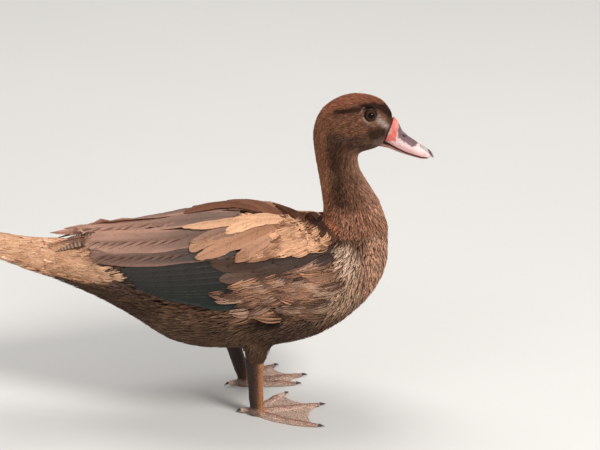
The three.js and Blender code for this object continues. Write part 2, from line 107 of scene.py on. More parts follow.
def fused(shapes, grain, swell=0.0):
    """One closed surface round several overlapping shapes."""
    for shape in shapes:
        shape.normal_update()
        for vert in shape.verts:
            vert.co += vert.normal * swell
    blank = merged(shapes)
    holder = placed("holder", blank)
    remesh = holder.modifiers.new("fuse", "REMESH")
    remesh.mode = "VOXEL"
    remesh.voxel_size = grain
    result = bmesh.new()
    result.from_object(holder, bpy.context.evaluated_depsgraph_get())
    bpy.data.objects.remove(holder)
    bpy.data.meshes.remove(blank)
    return result


def keep_largest(shape):
    """Drops the closed pockets that a remesh leaves inside narrow gaps."""
    left = set(shape.verts)
    islands = []
    while left:
        todo = [left.pop()]
        island = list(todo)
        while todo:
            for edge in todo.pop().link_edges:
                for vert in edge.verts:
                    if vert in left:
                        left.remove(vert)
                        todo.append(vert)
                        island.append(vert)
        islands.append(island)
    islands.sort(key=len)
    for island in islands[:-1]:
        bmesh.ops.delete(shape, geom=island, context="VERTS")


def smooth(shape, rounds):
    """Evens out a shape's surface."""
    for _ in range(rounds):
        bmesh.ops.smooth_vert(
            shape, verts=shape.verts, factor=0.5,
            use_axis_x=True, use_axis_y=True, use_axis_z=True,
        )


def places(shape):
    """A shape's corners as rows of an array."""
    return np.array([vert.co[:] for vert in shape.verts])


def leg_top(side):
    """A cone under the feathers of the lower thigh, round the top of the shank."""
    shank = copy_of("shank_" + side)
    high = [vert.co for vert in shank.verts if vert.co.z > SHANK_HEAD]
    middle = sum(high, Vector()) / len(high)
    shank.free()
    cone = bmesh.new()
    bmesh.ops.create_cone(cone, cap_ends=True, **LEG_CONE)
    spot = (middle.x + LEG_CONE_FORE, middle.y, LEG_CONE_HEIGHT)
    bmesh.ops.translate(cone, verts=cone.verts, vec=spot)
    return cone


flesh = [copy_of(name) for name in ("rump", "trunk", "neck", "head", "thigh_right", "thigh_left")]
flesh += [leg_top("right"), leg_top("left")]
for name, stump in (("tail", TAIL_STUMP), ("wing_right", WING_STUMP), ("wing_left", WING_STUMP)):
    flesh.append(copy_of(name))
    cut_short(flesh[-1], stump)
body = fused(flesh, BODY_GRAIN, SWELL)
keep_largest(body)
smooth(body, 5)
body.normal_update()
for vert in body.verts:
    vert.co -= vert.normal * SWELL * DRAWN_BACK
# The back lies lower by the room that the stack of large wing feathers takes.
BACK_ROOM = [  # place along, room
    (-125, 0), (-100, 4), (-80, 7.5), (-20, 7.5), (20, 5.2),
    (60, 3.8), (80, 5.5), (100, 7.5), (120, 3), (140, 0),
]
ROOM_HEIGHTS = (120, 158, 192, 204)  # the room opens over the first pair and closes over the second
for vert in body.verts:
    room = np.interp(vert.co.x / MM, *zip(*BACK_ROOM))
    vert.co.z -= room * np.interp(vert.co.z / MM, ROOM_HEIGHTS, (0, 1, 1, 0)) * MM
body.normal_update()

# The outline that the feather tips reach, kept for laying the coat on.
outline = body.copy()
bmesh.ops.triangulate(outline, faces=outline.faces)
outline.faces.ensure_lookup_table()
outline_tree = BVHTree.FromBMesh(outline)
outline_normals = []
for face in outline.faces:
    outline_normals.append(sum((vert.normal for vert in face.verts), Vector()).normalized())


def nearest(points):
    """The outline's closest place to each point, and which way it faces there."""
    found = np.empty((len(points), 3))
    facing = np.empty((len(points), 3))
    for i, point in enumerate(points.tolist()):
        place, _, face, _ = outline_tree.find_nearest(point)
        found[i] = place
        facing[i] = outline_normals[face]
    return found, facing


# The lie of the coat: place on the side, heading (180 is toward the tail, 270 straight down),
# feather length and width, and how much one feather's tone differs from the next, in percent.
LIE = np.array([
    [188, 276, 178, 1.9, 0.8, 12], [179, 262, 186, 2.6, 0.9, 18], [173, 300, 180, 3.4, 1.0, 20],
    [150, 305, 184, 4.6, 1.1, 22], [128, 297, 212, 5.4, 1.2, 24], [116, 276, 252, 6.2, 1.3, 26],
    [150, 275, 192, 5.2, 1.2, 38], [161, 258, 204, 5.0, 1.2, 32], [136, 258, 246, 6.4, 1.3, 32],
    [136, 238, 266, 7.0, 1.4, 26], [142, 220, 268, 8.0, 1.6, 26], [150, 195, 264, 9.5, 1.9, 28],
    [166, 168, 262, 11, 2.4, 26], [176, 140, 254, 12, 2.6, 32], [120, 186, 228, 12, 2.8, 18],
    [146, 158, 230, 12, 2.8, 16], [158, 140, 232, 12, 2.6, 16], [150, 128, 218, 13, 2.8, 18],
    [134, 120, 206, 14, 3.0, 28], [150, 110, 215, 14, 2.6, 30], [130, 150, 203, 15, 3.0, 34],
    [100, 90, 190, 16, 2.4, 30], [30, 64, 182, 16, 2.0, 24], [84, 68, 190, 16, 2.0, 24],
    [60, 130, 181, 17, 3.2, 26], [0, 75, 175, 17, 2.0, 22], [0, 100, 178, 17, 2.2, 22],
    [-40, 90, 168, 17, 2.2, 22], [0, 145, 180, 18, 5.5, 14], [60, 186, 180, 20, 6.5, 16],
    [0, 182, 180, 22, 7.0, 16], [57, 57, 262, 9, 1.8, 24], [56, 68, 250, 11, 1.9, 24],
    [-60, 100, 160, 20, 2.4, 22], [-60, 160, 178, 24, 6.0, 16], [-110, 130, 160, 24, 4.5, 16],
    [-110, 160, 178, 28, 6.5, 14], [-160, 150, 168, 28, 6.0, 14], [-205, 162, 176, 30, 6.0, 12],
])
LIE_BLUR = 9 * MM
DEPTH_SHARE = 0.24  # depth of the coat, as part of a feather's length
DEEPEST = 4.2 * MM


def lie_of(points):
    """Heading, feather length, feather width and tone spread at each point."""
    ahead = points[:, None, 0] - LIE[None, :, 0] * MM
    above = points[:, None, 2] - LIE[None, :, 1] * MM
    weight = 1 / (ahead**2 + above**2 + LIE_BLUR**2) ** 2
    weight /= weight.sum(1, keepdims=True)
    angle = np.radians(LIE[:, 2])
    heading = np.stack([weight @ np.cos(angle), np.zeros(len(points)), weight @ np.sin(angle)], 1)
    heading /= np.linalg.norm(heading, axis=1, keepdims=True)
    return heading, weight @ LIE[:, 3] * MM, weight @ LIE[:, 4] * MM, weight @ LIE[:, 5] / 100


def coat_depth(points):
    """How far under the outline a feather's root lies."""
    return np.minimum(lie_of(points)[1] * DEPTH_SHARE, DEEPEST)


# The skin proper: drawn in, but never by more than a part of what is there.
THIN_SHARE = 0.28
RAY_START = 0.2 * MM
depths = coat_depth(places(outline))
for i, vert in enumerate(outline.verts):
    inward = -vert.normal
    _, _, _, thickness = outline_tree.ray_cast(vert.co + inward * RAY_START, inward)
    depths[i] = min(depths[i], (thickness or 1.0) * THIN_SHARE)
for vert, depth in zip(body.verts, depths):
    vert.co -= vert.normal * depth
smooth(body, 3)


# ---- eyelids ----
# Folds of bare skin round each eye: a rolled margin on the eyeball and one soft crease outside
# it, a closed ring that dives under the face all round.
EYE_RADIUS = 6.3 * MM
LID_SEGMENTS = 44
LID_OPENING = (68, 60)  # half angles of the opening, along and across
LID_ABOVE = 0.86  # the upper half opens less
LID_RINGS = [  # angle beyond the opening, height over the eyeball
    (0, 0.10), (0.5, 0.45), (4, 0.7), (8, 0.6), (11, 0.3),
    (15, 0.5), (22, 0.3), (34, -1.2), (27, -1.6), (8, -0.6),
]
LID_TILT = -14  # degrees, the fore corner lower
FACE_OUT = Vector((0.22, -0.93, 0.28)).normalized()

eye_low, eye_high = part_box("eye_right")
EYE_DROP = 1.5 * MM  # the finished eye sits this much lower under its brow
eye_centre = (Vector(eye_low) + Vector(eye_high)) / 2 - Vector((0, 0, EYE_DROP))
fore = Vector((math.cos(math.radians(LID_TILT)), 0, math.sin(math.radians(LID_TILT))))
fore = (fore - FACE_OUT * fore.dot(FACE_OUT)).normalized()
eye_up = FACE_OUT.cross(fore).normalized()
if eye_up.z < 0:
    eye_up.negate()


def lid_ring(extra, height):
    """The places of one ring of the lid."""
    for i in range(LID_SEGMENTS):
        turn = 2 * math.pi * i / LID_SEGMENTS
        along, across = math.cos(turn), math.sin(turn)
        squash = LID_OPENING[1] * (LID_ABOVE if across > 0 else 1.0)
        half = math.hypot(LID_OPENING[0] * along, squash * across)
        angle = math.radians(half + extra)
        side = (fore * along + eye_up * across).normalized()
        radius = EYE_RADIUS + height * MM
        yield eye_centre + (FACE_OUT * math.cos(angle) + side * math.sin(angle)) * radius


def flipped(shape):
    """Turns a shape into its mirror image on the bird's other side."""
    for vert in shape.verts:
        vert.co.y = -vert.co.y
    bmesh.ops.reverse_faces(shape, faces=shape.faces)
    return shape


lid = bmesh.new()
loops = []
for extra, height in LID_RINGS:
    made = bmesh.ops.create_circle(lid, segments=LID_SEGMENTS, radius=MM)["verts"]
    for vert, place in zip(made, lid_ring(extra, height)):
        vert.co = place
    loops.append(made)
for inner, outer in zip(loops, loops[1:] + loops[:1]):
    rims = []
    for loop in (inner, outer):
        rims += [edge for edge in lid.edges if all(vert in loop for vert in edge.verts)]
    bmesh.ops.bridge_loops(lid, edges=rims)
bmesh.ops.recalc_face_normals(lid, faces=lid.faces)
skin_shapes = [body, lid, flipped(lid.copy())]


# ---- legs and feet ----
# Scaly skin over bone, brown on the shanks and paler on the webs, with a fold at each toe
# joint. Fused from the solids at a finer grain, the tops run up inside the leg feathers.
LEG_GRAIN = 0.75 * MM
LEG_SWELL = 0.2 * MM
LEG_STOUT = 1.1 * MM  # how much stouter the shanks are than the feet
STOUT_FROM = 9 * MM
STOUT_OVER = 8 * MM
LEG_TOP = 59 * MM  # above this the leg is drawn up inside the feathers
LEG_RUN = 3
TOE_STEPS = 25
FEET = {  # root of the toes, and each toe's heading, length and sideways bow
    "right": ((61, -33), [(-0.45, 64, -5), (0.3, 62, -1), (1.02, 50, 2)]),
    "left": ((48.5, 33), [(0.0, 49, -2), (0.34, 58, 0), (0.98, 50, 4)]),
}
for side in FEET:
    leg = fused([copy_of("shank_" + side), copy_of("foot_" + side)], LEG_GRAIN, LEG_SWELL)
    keep_largest(leg)
    smooth(leg, 4)
    leg.normal_update()
    for vert in leg.verts:
        stout = min(1, max(0, (vert.co.z - STOUT_FROM) / STOUT_OVER))
        vert.co += vert.normal * stout * LEG_STOUT
        vert.co.z = max(vert.co.z, 0)
        if vert.co.z > LEG_TOP:
            vert.co.z += (vert.co.z - LEG_TOP) * LEG_RUN
    skin_shapes.append(leg)
lids_from = len(body.verts)
legs_from = sum(len(shape.verts) for shape in skin_shapes[:3])


def toe_gap(points, side):
    """How far each point is from the middle of the nearest toe, seen from above."""
    root, toes = FEET[side]
    gap = np.full(len(points), 1.0)
    for heading, length, bow in toes:
        forward = np.array([math.cos(heading), math.sin(heading)])
        sideways = np.array([-forward[1], forward[0]])
        for t in np.linspace(0, 1, TOE_STEPS):
            place = (np.array(root) + forward * length * t + sideways * bow * 4 * t * (1 - t)) * MM
            gap = np.minimum(gap, np.linalg.norm(points[:, :2] - place, axis=1))
    return gap


def joined(shapes, name):
    """One smooth object from several shapes."""
    piece = placed(name, merged(shapes, name))
    piece.data.polygons.foreach_set("use_smooth", [True] * len(piece.data.polygons))
    return piece


def tinted(mesh, colours):
    """Gives each corner its colour."""
    layer = mesh.attributes.new("tint", "FLOAT_COLOR", "POINT")
    rows = np.ones((len(mesh.vertices), 4), dtype=np.float32)
    rows[:, :3] = colours
    layer.data.foreach_set("color", rows.ravel())


def points_of(mesh):
    """A mesh's corners as rows of an array."""
    flat = np.empty(len(mesh.vertices) * 3, dtype=np.float32)
    mesh.vertices.foreach_get("co", flat)
    return flat.reshape(-1, 3).astype(float)


# ---- the markings ----
# The pattern that skin and coat share: a brown young hen with a rufous cap, a dark stripe
# through the eye, tan shoulders and flanks, an umber belly and a sandy rump and tail. Places are
# millimetres along and up on a card that faces the bird's right side from 22 degrees above.
CARD_TILT = math.radians(22)
CARD_FROM = 3.0  # the card is read from this far away
CARD_MIDDLE = Vector((101.8, 0, 178.7)) * MM
CARD_UP = 165.7 * MM  # height marked on the card at its middle
LOOK = Vector((0, math.cos(CARD_TILT), -math.sin(CARD_TILT)))
UPWARD = Vector((0, math.sin(CARD_TILT), math.cos(CARD_TILT)))
SIGHT = CARD_MIDDLE - LOOK * CARD_FROM
MANTLE_HALF = 17 * MM  # the left shoulder's tan starts this far down from the ridge


def paint(red, green, blue):
    """Linear colour from a paint card's values of 0 to 255."""
    return np.array([((value / 255 + 0.055) / 1.055) ** 2.4 for value in (red, green, blue)])


def card_of(points):
    """Where each point falls on the side card, the left side read as the right."""
    across = np.abs(points[:, 1])
    left_back = (points[:, 1] > 0) & (points[:, 2] > 150 * MM) & (points[:, 0] < 125 * MM)
    across[left_back] = np.maximum(across[left_back] - MANTLE_HALF, 0)
    from_sight = np.stack([points[:, 0], -across, points[:, 2]], 1) - np.array(SIGHT)
    from_sight *= CARD_FROM / (from_sight @ np.array(LOOK))[:, None]
    on_plane = from_sight + np.array(SIGHT - CARD_MIDDLE)
    return np.stack([on_plane[:, 0] + CARD_MIDDLE.x, on_plane @ np.array(UPWARD) + CARD_UP], 1) / MM


def band(card, line, width, soft):
    """1 inside a stroke along a line of places, falling to 0 over the soft edge."""
    gap = np.full(len(card), 1e9)
    line = [np.array(place, dtype=float) for place in line]
    if len(line) == 1:
        line = line * 2
    for start, end in zip(line, line[1:]):
        way = end - start
        t = np.clip((card - start) @ way / max(way @ way, 1e-9), 0, 1)
        gap = np.minimum(gap, np.linalg.norm(card - start - t[:, None] * way, axis=1))
    inside = np.clip((width + soft - gap) / (2 * soft), 0, 1)
    return inside * inside * (3 - 2 * inside)


BASE_COAT = paint(98, 70, 53)
MARKINGS = [  # colour from a paint card, line on the card, half width, softness, strength
    # belly, vent, rump and tail
    ((100, 76, 59), [(-110, 95), (-50, 72), (40, 62), (96, 72)], 16, 9, 1.0),
    ((78, 57, 44), [(-125, 112), (-70, 92), (-40, 88)], 12, 5, 0.9),
    ((204, 152, 116), [(-60, 108), (-120, 127), (-160, 137)], 12, 4, 1.0),
    ((222, 178, 146), [(-220, 148), (-150, 143), (-105, 140)], 15, 6, 1.0),
    ((212, 160, 124), [(-105, 135), (-62, 118)], 14, 5, 0.9),
    ((80, 59, 45), [(-124, 110), (-92, 103), (-58, 102), (-40, 98)], 7.5, 2.5, 1.0),
    # back, shoulders and the wing under its large feathers
    ((92, 72, 62), [(-60, 130), (40, 115)], 26, 8, 1.0),
    ((168, 124, 102), [(-120, 165), (-20, 176), (30, 186)], 13, 5, 1.0),
    ((208, 160, 124), [(30, 166), (90, 164), (114, 150)], 12, 3, 1.0),
    ((196, 150, 116), [(60, 150), (112, 146)], 8, 4, 0.8),
    ((104, 74, 58), [(24, 183), (60, 185), (98, 184)], 8.5, 2, 1.0),
    ((82, 62, 52), [(60, 131), (128, 139)], 8, 2.5, 1.0),
    ((82, 62, 49), [(122, 76), (98, 66), (80, 62)], 7, 6, 0.8),
    ((92, 69, 54), [(60, 56), (59, 44)], 12, 5, 0.7),
    ((58, 41, 33), [(-64, 121), (-57, 116)], 3, 2.5, 0.8),
    # flank and breast
    ((140, 105, 82), [(40, 96), (90, 104), (130, 112)], 14, 7, 1.0),
    ((176, 143, 120), [(142, 130), (148, 118), (146, 98)], 12, 10, 0.9),
    ((196, 166, 143), [(143, 138), (149, 126)], 8, 7, 0.8),
    ((164, 132, 108), [(148, 98), (122, 88)], 11, 8, 0.9),
    ((174, 132, 108), [(178, 150), (170, 108)], 13, 8, 1.0),
    ((146, 102, 80), [(140, 170), (168, 175)], 18, 8, 1.0),
    ((168, 108, 80), [(128, 168), (136, 160)], 4, 3, 0.9),
    ((46, 33, 26), [(64, 72), (82, 74)], 5, 3, 0.95),
    ((62, 42, 32), [(100, 171), (120, 161), (134, 154), (143, 146)], 2.6, 2, 0.8),
    # neck
    ((112, 78, 60), [(140, 240), (150, 200)], 22, 6, 1.0),
    ((146, 99, 74), [(118, 270), (121, 230), (126, 185)], 6, 4, 1.0),
    # painted shade down the side of the neck
    ((58, 40, 31), [(132, 232), (138, 205), (139, 190)], 6, 7, 0.85),
    ((170, 127, 104), [(157, 228), (166, 200), (176, 178)], 7, 6, 0.9),
    ((70, 46, 35), [(140, 190), (143, 184)], 8, 6, 0.6),
    # head
    ((124, 84, 64), [(140, 268), (165, 262)], 18, 6, 1.0),
    ((146, 92, 70), [(125, 278), (150, 288), (172, 286)], 9, 3, 1.0),
    ((142, 95, 72), [(118, 270), (120, 255)], 8, 4, 0.9),
    ((128, 88, 66), [(138, 256), (148, 250)], 8, 5, 0.8),
    ((82, 58, 48), [(135, 242), (168, 241)], 8, 5, 0.9),
    ((98, 72, 54), [(166, 243)], 7, 4, 0.7),
    ((56, 37, 30), [(160, 275.5), (169, 277), (178, 275), (187, 268.5)], 3.2, 1.6, 0.9),
    ((46, 29, 24), [(135, 270.5), (146, 271.5), (158, 273.5), (166, 276)], 2.4, 1.8, 0.9),
    ((160, 128, 114), [(183.5, 258), (182, 252), (180, 247)], 1.2, 1.2, 0.6),
    ((48, 34, 28), [(169, 250), (178, 251)], 5.0, 3.5, 0.85),
    ((150, 122, 104), [(173, 267), (179, 262)], 3, 1.8, 0.9),
    ((190, 172, 162), [(175, 262), (182, 258)], 2.2, 2.2, 0.95),
    ((150, 126, 110), [(161, 266), (164, 260), (170, 258)], 0.8, 1.0, 0.8),
    ((156, 132, 116), [(157, 269), (160, 274)], 0.6, 1.0, 0.7),
    ((120, 98, 88), [(172, 240), (178, 243)], 3.5, 2, 0.8),
]


def painted(card, base, marks):
    """Colours at places on the card: a base tone with each mark laid over it in turn."""
    colour = np.tile(base, (len(card), 1))
    for tone, line, width, soft, strength in marks:
        share = (band(card, line, width, soft) * strength)[:, None]
        colour = colour * (1 - share) + paint(*tone) * share
    return colour


def plumage(points):
    """The colour of skin and feathers at each point."""
    return painted(card_of(points), BASE_COAT, MARKINGS)


LEG_BROWN = paint(90, 56, 39)
LEG_PAINTED_SHADE = paint(44, 30, 22)
LEG_PAINTED_LIGHT = paint(196, 132, 84)
WEB_PINK = paint(224, 190, 170)
TOE_RED = paint(156, 98, 78)
WEB_HEIGHTS = (9 * MM, 6 * MM)  # the foot's colour begins under the first, and is full at the second
WEB_REACH = (4 * MM, 13 * MM)  # and the same way out from the root of the toes
TOE_HALF = 3.6 * MM
SHANK_MIDDLE = 0.5 * MM  # painted light on the shank ahead of here and painted shade behind
SHANK_HALF = 4 * MM
SHANK_SHADE_SHARE = 0.85


def leg_colours(points):
    """Brown shanks with painted light down the front and painted shade down the back, over pink webs with
    redder toes.
    """
    colour = np.tile(LEG_BROWN, (len(points), 1))
    for side, (root, _) in FEET.items():
        mine = (points[:, 1] < 0) == (side == "right")
        x, y, z = points[mine].T
        from_root = np.hypot(x - root[0] * MM, y - root[1] * MM)
        web = np.interp(-z, (-WEB_HEIGHTS[0], -WEB_HEIGHTS[1]), (0, 1))[:, None]
        web *= np.interp(from_root, WEB_REACH, (0, 1))[:, None]
        ridge = np.clip(1 - toe_gap(points[mine], side) / TOE_HALF, 0, 1)[:, None]
        foot = WEB_PINK * (1 - ridge) + TOE_RED * ridge
        # painted light on the shank's front and painted shade on its back
        front = np.clip((x - root[0] * MM - SHANK_MIDDLE) / SHANK_HALF, -1, 1)[:, None]
        shank = LEG_BROWN + np.maximum(front, 0) * (LEG_PAINTED_LIGHT - LEG_BROWN)
        shank = shank + np.maximum(-front, 0) * (LEG_PAINTED_SHADE - LEG_BROWN) * SHANK_SHADE_SHARE
        colour[mine] = shank * (1 - web) + foot * web
    return colour


# Painted shade: the skin between the feathers is darker than they are, as it lies in their shade, and the
# lids darken toward the brow that shades them.
UNDER_FEATHER_SHADE = 0.8
LID_SKIN = paint(170, 144, 124)
LID_MARGIN = 3  # the first rings, on the eyeball, are near black
skin = joined(skin_shapes, "skin")
skin_points = points_of(skin.data)
skin_colours = plumage(skin_points) * UNDER_FEATHER_SHADE
ring_numbers = np.tile(np.repeat(np.arange(len(LID_RINGS)), LID_SEGMENTS), 2)
lid_above = (skin_points[lids_from:legs_from, 2] - eye_centre.z) / EYE_RADIUS
# painted shade on the lids, darkest under the brow, times the near-black margin rings
lid_brow_shade_and_margin = np.interp(lid_above, (-0.4, 0.6), (1.0, 0.2)) * np.where(ring_numbers < LID_MARGIN, 0.1, 1.0)
skin_colours[lids_from:legs_from] = LID_SKIN * lid_brow_shade_and_margin[:, None]
skin_colours[legs_from:] = leg_colours(skin_points[legs_from:])
tinted(skin.data, skin_colours)
scaly = skin.data.attributes.new("scaly", "FLOAT", "POINT")
scaly.data.foreach_set("value", (np.arange(len(skin_points)) >= legs_from).astype(np.float32))


class Wire:
    """A shader value that can be added, multiplied and mixed as a number can."""

    def __init__(self, tree, socket):
        self.tree = tree
        self.socket = socket

    def node(self, kind, settings=None, **values):
        """A new node with its settings, and its inputs by name or by _number."""
        made = self.tree.nodes.new(kind)
        for name, value in (settings or {}).items():
            if name == "stops":
                ramp = made.color_ramp.elements
                while len(ramp) < len(value):
                    ramp.new(0.5)
                for stop, (place, colour) in zip(ramp, value):
                    stop.position = place
                    stop.color = colour
            else:
                setattr(made, name, value)
        for name, value in values.items():
            key = int(name[1:]) if name[0] == "_" else name.replace("_", " ")
            if isinstance(value, Wire):
                self.tree.links.new(value.socket, made.inputs[key])
            else:
                made.inputs[key].default_value = value
        return made

    def out(self, made, name=0):
        """One output of a node."""
        return Wire(self.tree, made.outputs[name])

    def sum_of(self, operation, left, right=0.0):
        """Two values brought together by an operation."""
        return self.out(self.node("ShaderNodeMath", {"operation": operation}, _0=left, _1=right))

    def __add__(self, other):
        return self.sum_of("ADD", self, other)

    def __sub__(self, other):
        return self.sum_of("SUBTRACT", self, other)

    def __rsub__(self, other):
        return self.sum_of("SUBTRACT", other, self)

    def __mul__(self, other):
        return self.sum_of("MULTIPLY", self, other)

    __radd__ = __add__
    __rmul__ = __mul__

    def size(self):
        """The value without its sign."""
        return self.sum_of("ABSOLUTE", self)

    def rise(self, low, high):
        """0 below low, 1 above high."""
        settings = {"interpolation_type": "SMOOTHSTEP"}
        made = self.node("ShaderNodeMapRange", settings, Value=self, From_Min=low, From_Max=high)
        return self.out(made)

    def mixed(self, other, share):
        """This colour with a share of another."""
        return self.out(self.node("ShaderNodeMix", {"data_type": "RGBA"}, _0=share, _6=self, _7=other), 2)

    def lit(self, amount):
        """This colour, made brighter or darker by a value."""
        settings = {"operation": "SCALE"}
        return self.out(self.node("ShaderNodeVectorMath", settings, Vector=self, Scale=amount))

    def stretched(self, scale):
        """This place, multiplied along each axis."""
        return self.out(self.node("ShaderNodeMapping", Vector=self, Scale=scale))

    def noise(self, scale, detail=3.0):
        """Cloudy values at this place."""
        values = {"Scale": scale, "Detail": detail, "Roughness": 0.55}
        return self.out(self.node("ShaderNodeTexNoise", Vector=self, **values))

    def seams(self, scale):
        """How far this place is from the edges of scales that fill the room."""
        settings = {"feature": "DISTANCE_TO_EDGE"}
        return self.out(self.node("ShaderNodeTexVoronoi", settings, Vector=self, Scale=scale))

    def axes(self):
        """This place's three parts."""
        split = self.node("ShaderNodeSeparateXYZ", Vector=self)
        return [self.out(split, k) for k in range(3)]


def finish_of(name, **shader):
    """A new material, the start for its wires, and its shader with plain settings such as Roughness."""
    material = bpy.data.materials.new(name)
    material.use_nodes = True
    tree = material.node_tree
    shine = tree.nodes["Principled BSDF"]
    for key, value in shader.items():
        shine.inputs[key.replace("_", " ")].default_value = value
    return material, Wire(tree, None), shine


def attribute(start, name, kind="Color"):
    """What the mesh stores under a name."""
    return start.out(start.node("ShaderNodeAttribute", {"attribute_name": name}), kind)


def own_place(start):
    """The place on the piece, in metres."""
    return start.out(start.node("ShaderNodeTexCoord"), "Object")


def feed(shine, start, name, wire):
    """Joins a wire to one of the shader's sockets."""
    start.tree.links.new(wire.socket, shine.inputs[name])


def relief(shine, start, height, distance, strength):
    """Raises fine detail on the surface."""
    made = start.node("ShaderNodeBump", Height=height, Distance=distance, Strength=strength)
    start.tree.links.new(made.outputs[0], shine.inputs["Normal"])


skin_finish, start, shine = finish_of("bare_skin", Specular_IOR_Level=0.35)
place = own_place(start)
scaly_wire = attribute(start, "scaly", "Fac")
blotch = place.noise(160)
speck = place.noise(900)
scale_edge = place.stretched((1, 1, 1.25)).seams(480).rise(0.02, 0.22)
tone = 0.72 + blotch * 0.4 + speck * 0.18
seams = 1 - (1 - scale_edge) * scaly_wire * 0.6
feed(shine, start, "Base Color", attribute(start, "tint").lit(tone * seams))
feed(shine, start, "Roughness", 0.62 - scaly_wire * 0.14 + speck * 0.1)
relief(shine, start, scale_edge * scaly_wire + speck * 0.35, 0.35 * MM, 0.8)
skin.data.materials.append(skin_finish)

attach(skin, "root")
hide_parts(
    "tail", "rump", "trunk", "neck", "head", "thigh_right", "thigh_left",
    "shank_right", "shank_left", "foot_right", "foot_left",
)


# ---- the coat of small feathers ----
# Thousands of soft feathers, down-like on the face and loose on the belly. Each is a thin closed
# blade bent along the body: it leaves the skin at its root and its tip comes out to the outline.
rng = np.random.default_rng(11)
SPACING = 0.62  # distance between roots, as part of a feather's width
CROWD = 3.5  # tries for each root that finds room
BARE_EYE = 60  # degrees round the eye's axis that stay free of feathers
BARE_EYE_REACH = 9 * MM
BARE_LEG = 57 * MM  # feathers root above this height
BILL_EDGE = 0.8 * MM  # and no nearer to the bill
BILL_FENCE_GRAIN = 1.2 * MM
FOLLOW = 0.4  # how much a feather turns with the lie of its neighbours
PATCH = 0.003  # size of a feather on the bake map
LENGTHS = (0.82, 1.15)  # how much feathers vary
WIDTHS = (0.85, 1.15)
PROUD = 0.06  # how unevenly the tips stand, in millimetres
SUNK = 0.1  # how far under the outline a tip ends, as part of its root's depth
CURL = 0.06  # how far a curled tip lifts, as part of its length
CLUMP_TONE = 2.2  # how far neighbours differ in tone together, and each feather alone
OWN_TONE = 0.6
SPINE = np.array([
    [-225, 162], [-120, 150], [-20, 128], [80, 130], [135, 165],
    [145, 210], [136, 255], [150, 280], [188, 272],
]) * MM


def shape_read(shape):
    """Corner places and triangles of a small shape."""
    bmesh.ops.triangulate(shape, faces=shape.faces)
    corners = places(shape)
    shape.verts.index_update()
    faces = np.array([[vert.index for vert in face.verts] for face in shape.faces])
    shape.free()
    return corners, faces


def blade(form, sides):
    """A closed blade 1 long, from a cone cut at each stop and widened to the form's half width."""
    shape = bmesh.new()
    bmesh.ops.create_cone(shape, cap_ends=True, segments=sides, radius1=1, radius2=0, depth=1)
    bmesh.ops.translate(shape, verts=shape.verts, vec=(0, 0, 0.5))
    for stop, _ in form[1:]:
        everything = shape.verts[:] + shape.edges[:] + shape.faces[:]
        bmesh.ops.bisect_plane(shape, geom=everything, plane_co=(0, 0, stop), plane_no=(0, 0, 1))
    bmesh.ops.remove_doubles(shape, verts=shape.verts, dist=1e-5)
    stops = [stop for stop, _ in form]
    widths = [width for _, width in form]
    for vert in shape.verts:
        if vert.co.z < 0.999:
            share = float(np.interp(vert.co.z, stops, widths)) / (1 - vert.co.z)
            vert.co.x *= share
            vert.co.y *= share
    return shape_read(shape)


def unit(vectors):
    """Each row scaled to a length of 1."""
    return vectors / np.maximum(np.linalg.norm(vectors, axis=1, keepdims=True), 1e-9)


def tangent(vectors, up):
    """Each row laid flat on a surface that faces up, at a length of 1."""
    return unit(vectors - up * (vectors * up).sum(1, keepdims=True))


def unwrapped(points):
    """Places on a lengthwise unwrap of the skin: run along the spine, and turn about it."""
    best = np.full(len(points), 1e9)
    run = np.zeros(len(points))
    turn = np.zeros(len(points))
    flat = points[:, [0, 2]]
    travelled = 0.0
    for start, end in zip(SPINE, SPINE[1:]):
        way = end - start
        length = np.linalg.norm(way)
        t = np.clip((flat - start) @ way / length**2, 0, 1)
        off = flat - start - t[:, None] * way
        gap = np.linalg.norm(off, axis=1)
        closer = gap < best
        best[closer] = gap[closer]
        run[closer] = (travelled + t * length)[closer]
        above = off @ np.array([-way[1], way[0]]) / length
        turn[closer] = np.arctan2(points[:, 1], above)[closer]
        travelled += length
    return np.stack([run / travelled, (turn + math.pi) / (2 * math.pi)], 1)


def lay(template, root, heading, length, half, thick, low, high, curl, shade):
    """Bends one template into a feather at every root. low and high are its height off the outline
    at root and tip; curl lifts the tip further. shade darkens the root and lights the tip."""
    corners, faces = template
    stops, row = np.unique(corners[:, 2].round(4), return_inverse=True)
    place, up = nearest(root)
    along = tangent(heading, up)
    frames = []
    last = 0.0
    for stop in stops:
        if stop > last:
            ahead = place + along * (length * (stop - last))[:, None]
            found, up = nearest(ahead)
            place = ahead + up * ((found - ahead) * up).sum(1, keepdims=True)
            flow = lie_of(place)[0]
            drift = heading + (flow - heading) * FOLLOW
            along = tangent(along * (1 - FOLLOW) + drift * FOLLOW, up)
        last = stop
        height = low + (high - low) * math.sin(stop * math.pi / 2) + curl * stop**3
        frames.append((place + up * height[:, None], np.cross(up, along), up))
    centre = np.stack([entry[0] for entry in frames], 1)[:, row]
    side = np.stack([entry[1] for entry in frames], 1)[:, row]
    rise = np.stack([entry[2] for entry in frames], 1)[:, row]
    across = corners[None, :, 0, None] * half[:, None, None]
    over = corners[None, :, 1, None] * thick[:, None, None]
    points = centre + side * across + rise * over
    tint = plumage(frames[len(frames) // 2][0])
    fade = np.interp(corners[:, 2], (0, 0.35, 0.85), (shade[0], sum(shade) / 2, shade[1]))
    local = np.stack([corners[:, 0] / 2, corners[:, 2] - 0.5], 1)
    vane = np.stack([corners[None, :, 0] * half[:, None], corners[None, :, 2] * length[:, None]], 2)
    return {
        "points": points, "faces": faces, "tint": tint[:, None] * fade[None, :, None],
        "bake": root, "local": local, "vane": vane,
    }


